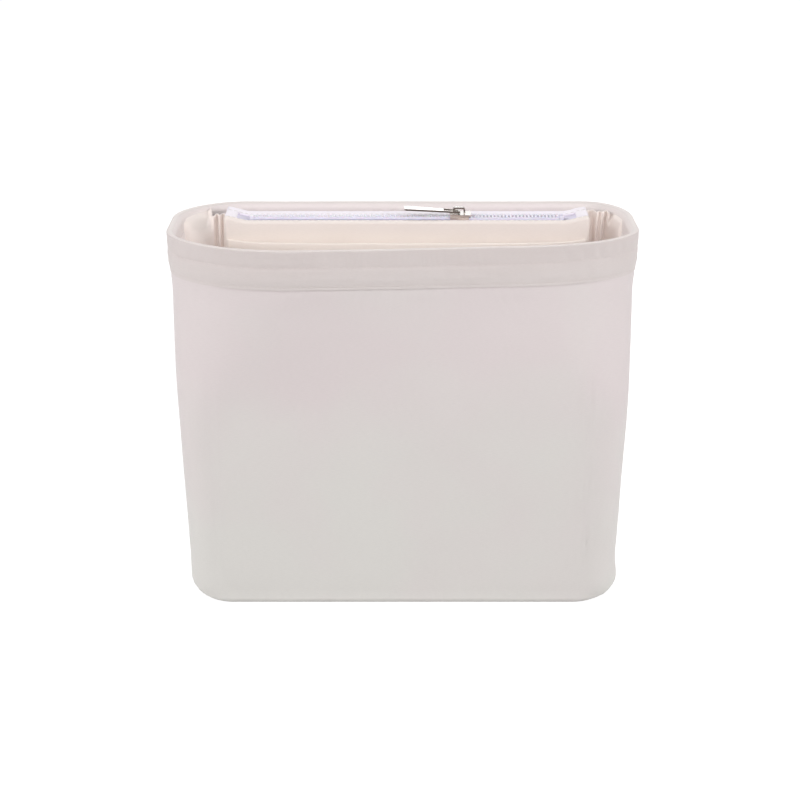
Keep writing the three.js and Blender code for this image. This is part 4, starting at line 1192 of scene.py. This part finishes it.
for side, name in ((-1, "zip_tab_left"), (1, "zip_tab_right")):
    low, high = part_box(name)
    section = tab_section(high.x - low.x)
    x = (low.x if side < 0 else high.x) - side * section[None, :, 0]
    y = np.linspace(low.y, high.y, 14)[:, None]
    points = at(x, y, pouch_top(x) + section[None, :, 1])
    tab = grid_piece(name + "_satin", points, tab_satin, sharp=80, thickness=TAB_CLOTH)
    sew_on(tab, name, (run_length(section), high.y - low.y))

# %% [markdown]
# The slider and its puller are die-cast and plated. Their solids already have the channel, wedge
# and arch, so a merged copy of each gets the small rounded edges that plating leaves. The
# puller's plate is also made a little wider, with its front edge turned down.

# %% Slider and puller
CAST_ROUND = 0.13 * MM
CAST_SHARP = 35
PLATE_END_X = 22.9 * MM
PLATE_WIDER = 1.2
PLATE_HALF = 3.1 * MM
PLATE_TILT = 0.42 * MM


def cast_copy(node, name, finish):
    shape = bmesh.new()
    shape.from_mesh(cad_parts[node].data)
    bmesh.ops.remove_doubles(shape, verts=shape.verts, dist=1e-6)
    bmesh.ops.dissolve_limit(shape, angle_limit=math.radians(1.5), verts=shape.verts,
                             edges=shape.edges)
    mesh = mesh_of(shape, name, CAST_SHARP)
    mesh.materials.append(finish)
    piece = in_scene(name, mesh)
    bevel = piece.modifiers.new("edges", "BEVEL")
    bevel.width = CAST_ROUND
    bevel.segments = 2
    bevel.limit_method = "ANGLE"
    bevel.angle_limit = math.radians(CAST_SHARP)
    piece.modifiers.new("flat_faces", "WEIGHTED_NORMAL").keep_sharp = True
    return piece


slider = cast_copy("zip_slider", "slider_casting", slider_finish)
puller = cast_copy("zip_puller", "puller_casting", nickel_finish)
for vertex in puller.data.vertices:
    if vertex.co.x < PLATE_END_X:
        vertex.co.y = ZIP_LINE + (vertex.co.y - ZIP_LINE) * PLATE_WIDER
    turned = float(ease((PLATE_END_X - vertex.co.x) / (7 * MM)))
    front = (ZIP_LINE + PLATE_HALF - vertex.co.y) / (2 * PLATE_HALF)
    vertex.co.z -= PLATE_TILT * turned * front
sew_on(slider, "zip_slider", body="slider")
sew_on(puller, "zip_puller", body="puller")

# %% [markdown]
# Seams are what tells a sewn box from a moulded one. Each line of stitches is a path on the
# cloth, and the same tree lays the thread along all of them.

# %% Stitches
STITCH = 3.0 * MM
THREAD_RADIUS = 0.14 * MM
EDGE_SEAM = 1.1 * MM
UPPER_SUNK = UPPER_PULL * MM - 0.06 * MM
LOWER_SUNK = LOWER_PULL * MM - 0.04 * MM


def ring_line(z, inset):
    return [wall_point(*s, np.float64(z), inset) for s in stations(30, 60, 24)]


def top_line(y):
    x = np.linspace(POUCH_LEFT + 2 * MM, POUCH_RIGHT - 2 * MM, 160)
    return at(x, y, pouch_top(x) + 0.02 * MM)


for name, line in (
        ("hem_upper_seam", ring_line(UPPER_SEAM, HEM_FACE + UPPER_SUNK)),
        ("hem_lower_seam", ring_line(LOWER_SEAM, HEM_FACE + LOWER_SUNK + 0.15 * MM)),
        ("hem_inner_upper", ring_line(UPPER_SEAM, HEM_INNER_FACE - UPPER_SUNK)),
        ("hem_inner_lower", ring_line(LOWER_SEAM, HEM_INNER_FACE - LOWER_SUNK)),
        ("pouch_front_edge", top_line(OPENING_FRONT - EDGE_SEAM)),
        ("pouch_back_edge", top_line(OPENING_BACK + EDGE_SEAM))):
    slot_name = name.split("_")[0]
    stitches = grow(name + "_stitches", line, slot_name == "hem", stitches_on_line,
                    {"Stitch Length": STITCH, "Thread Radius": THREAD_RADIUS,
                     "Finish": thread_finish})
    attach(stitches, "insert")
    print(stitches.name, len(stitches.data.polygons), "faces")
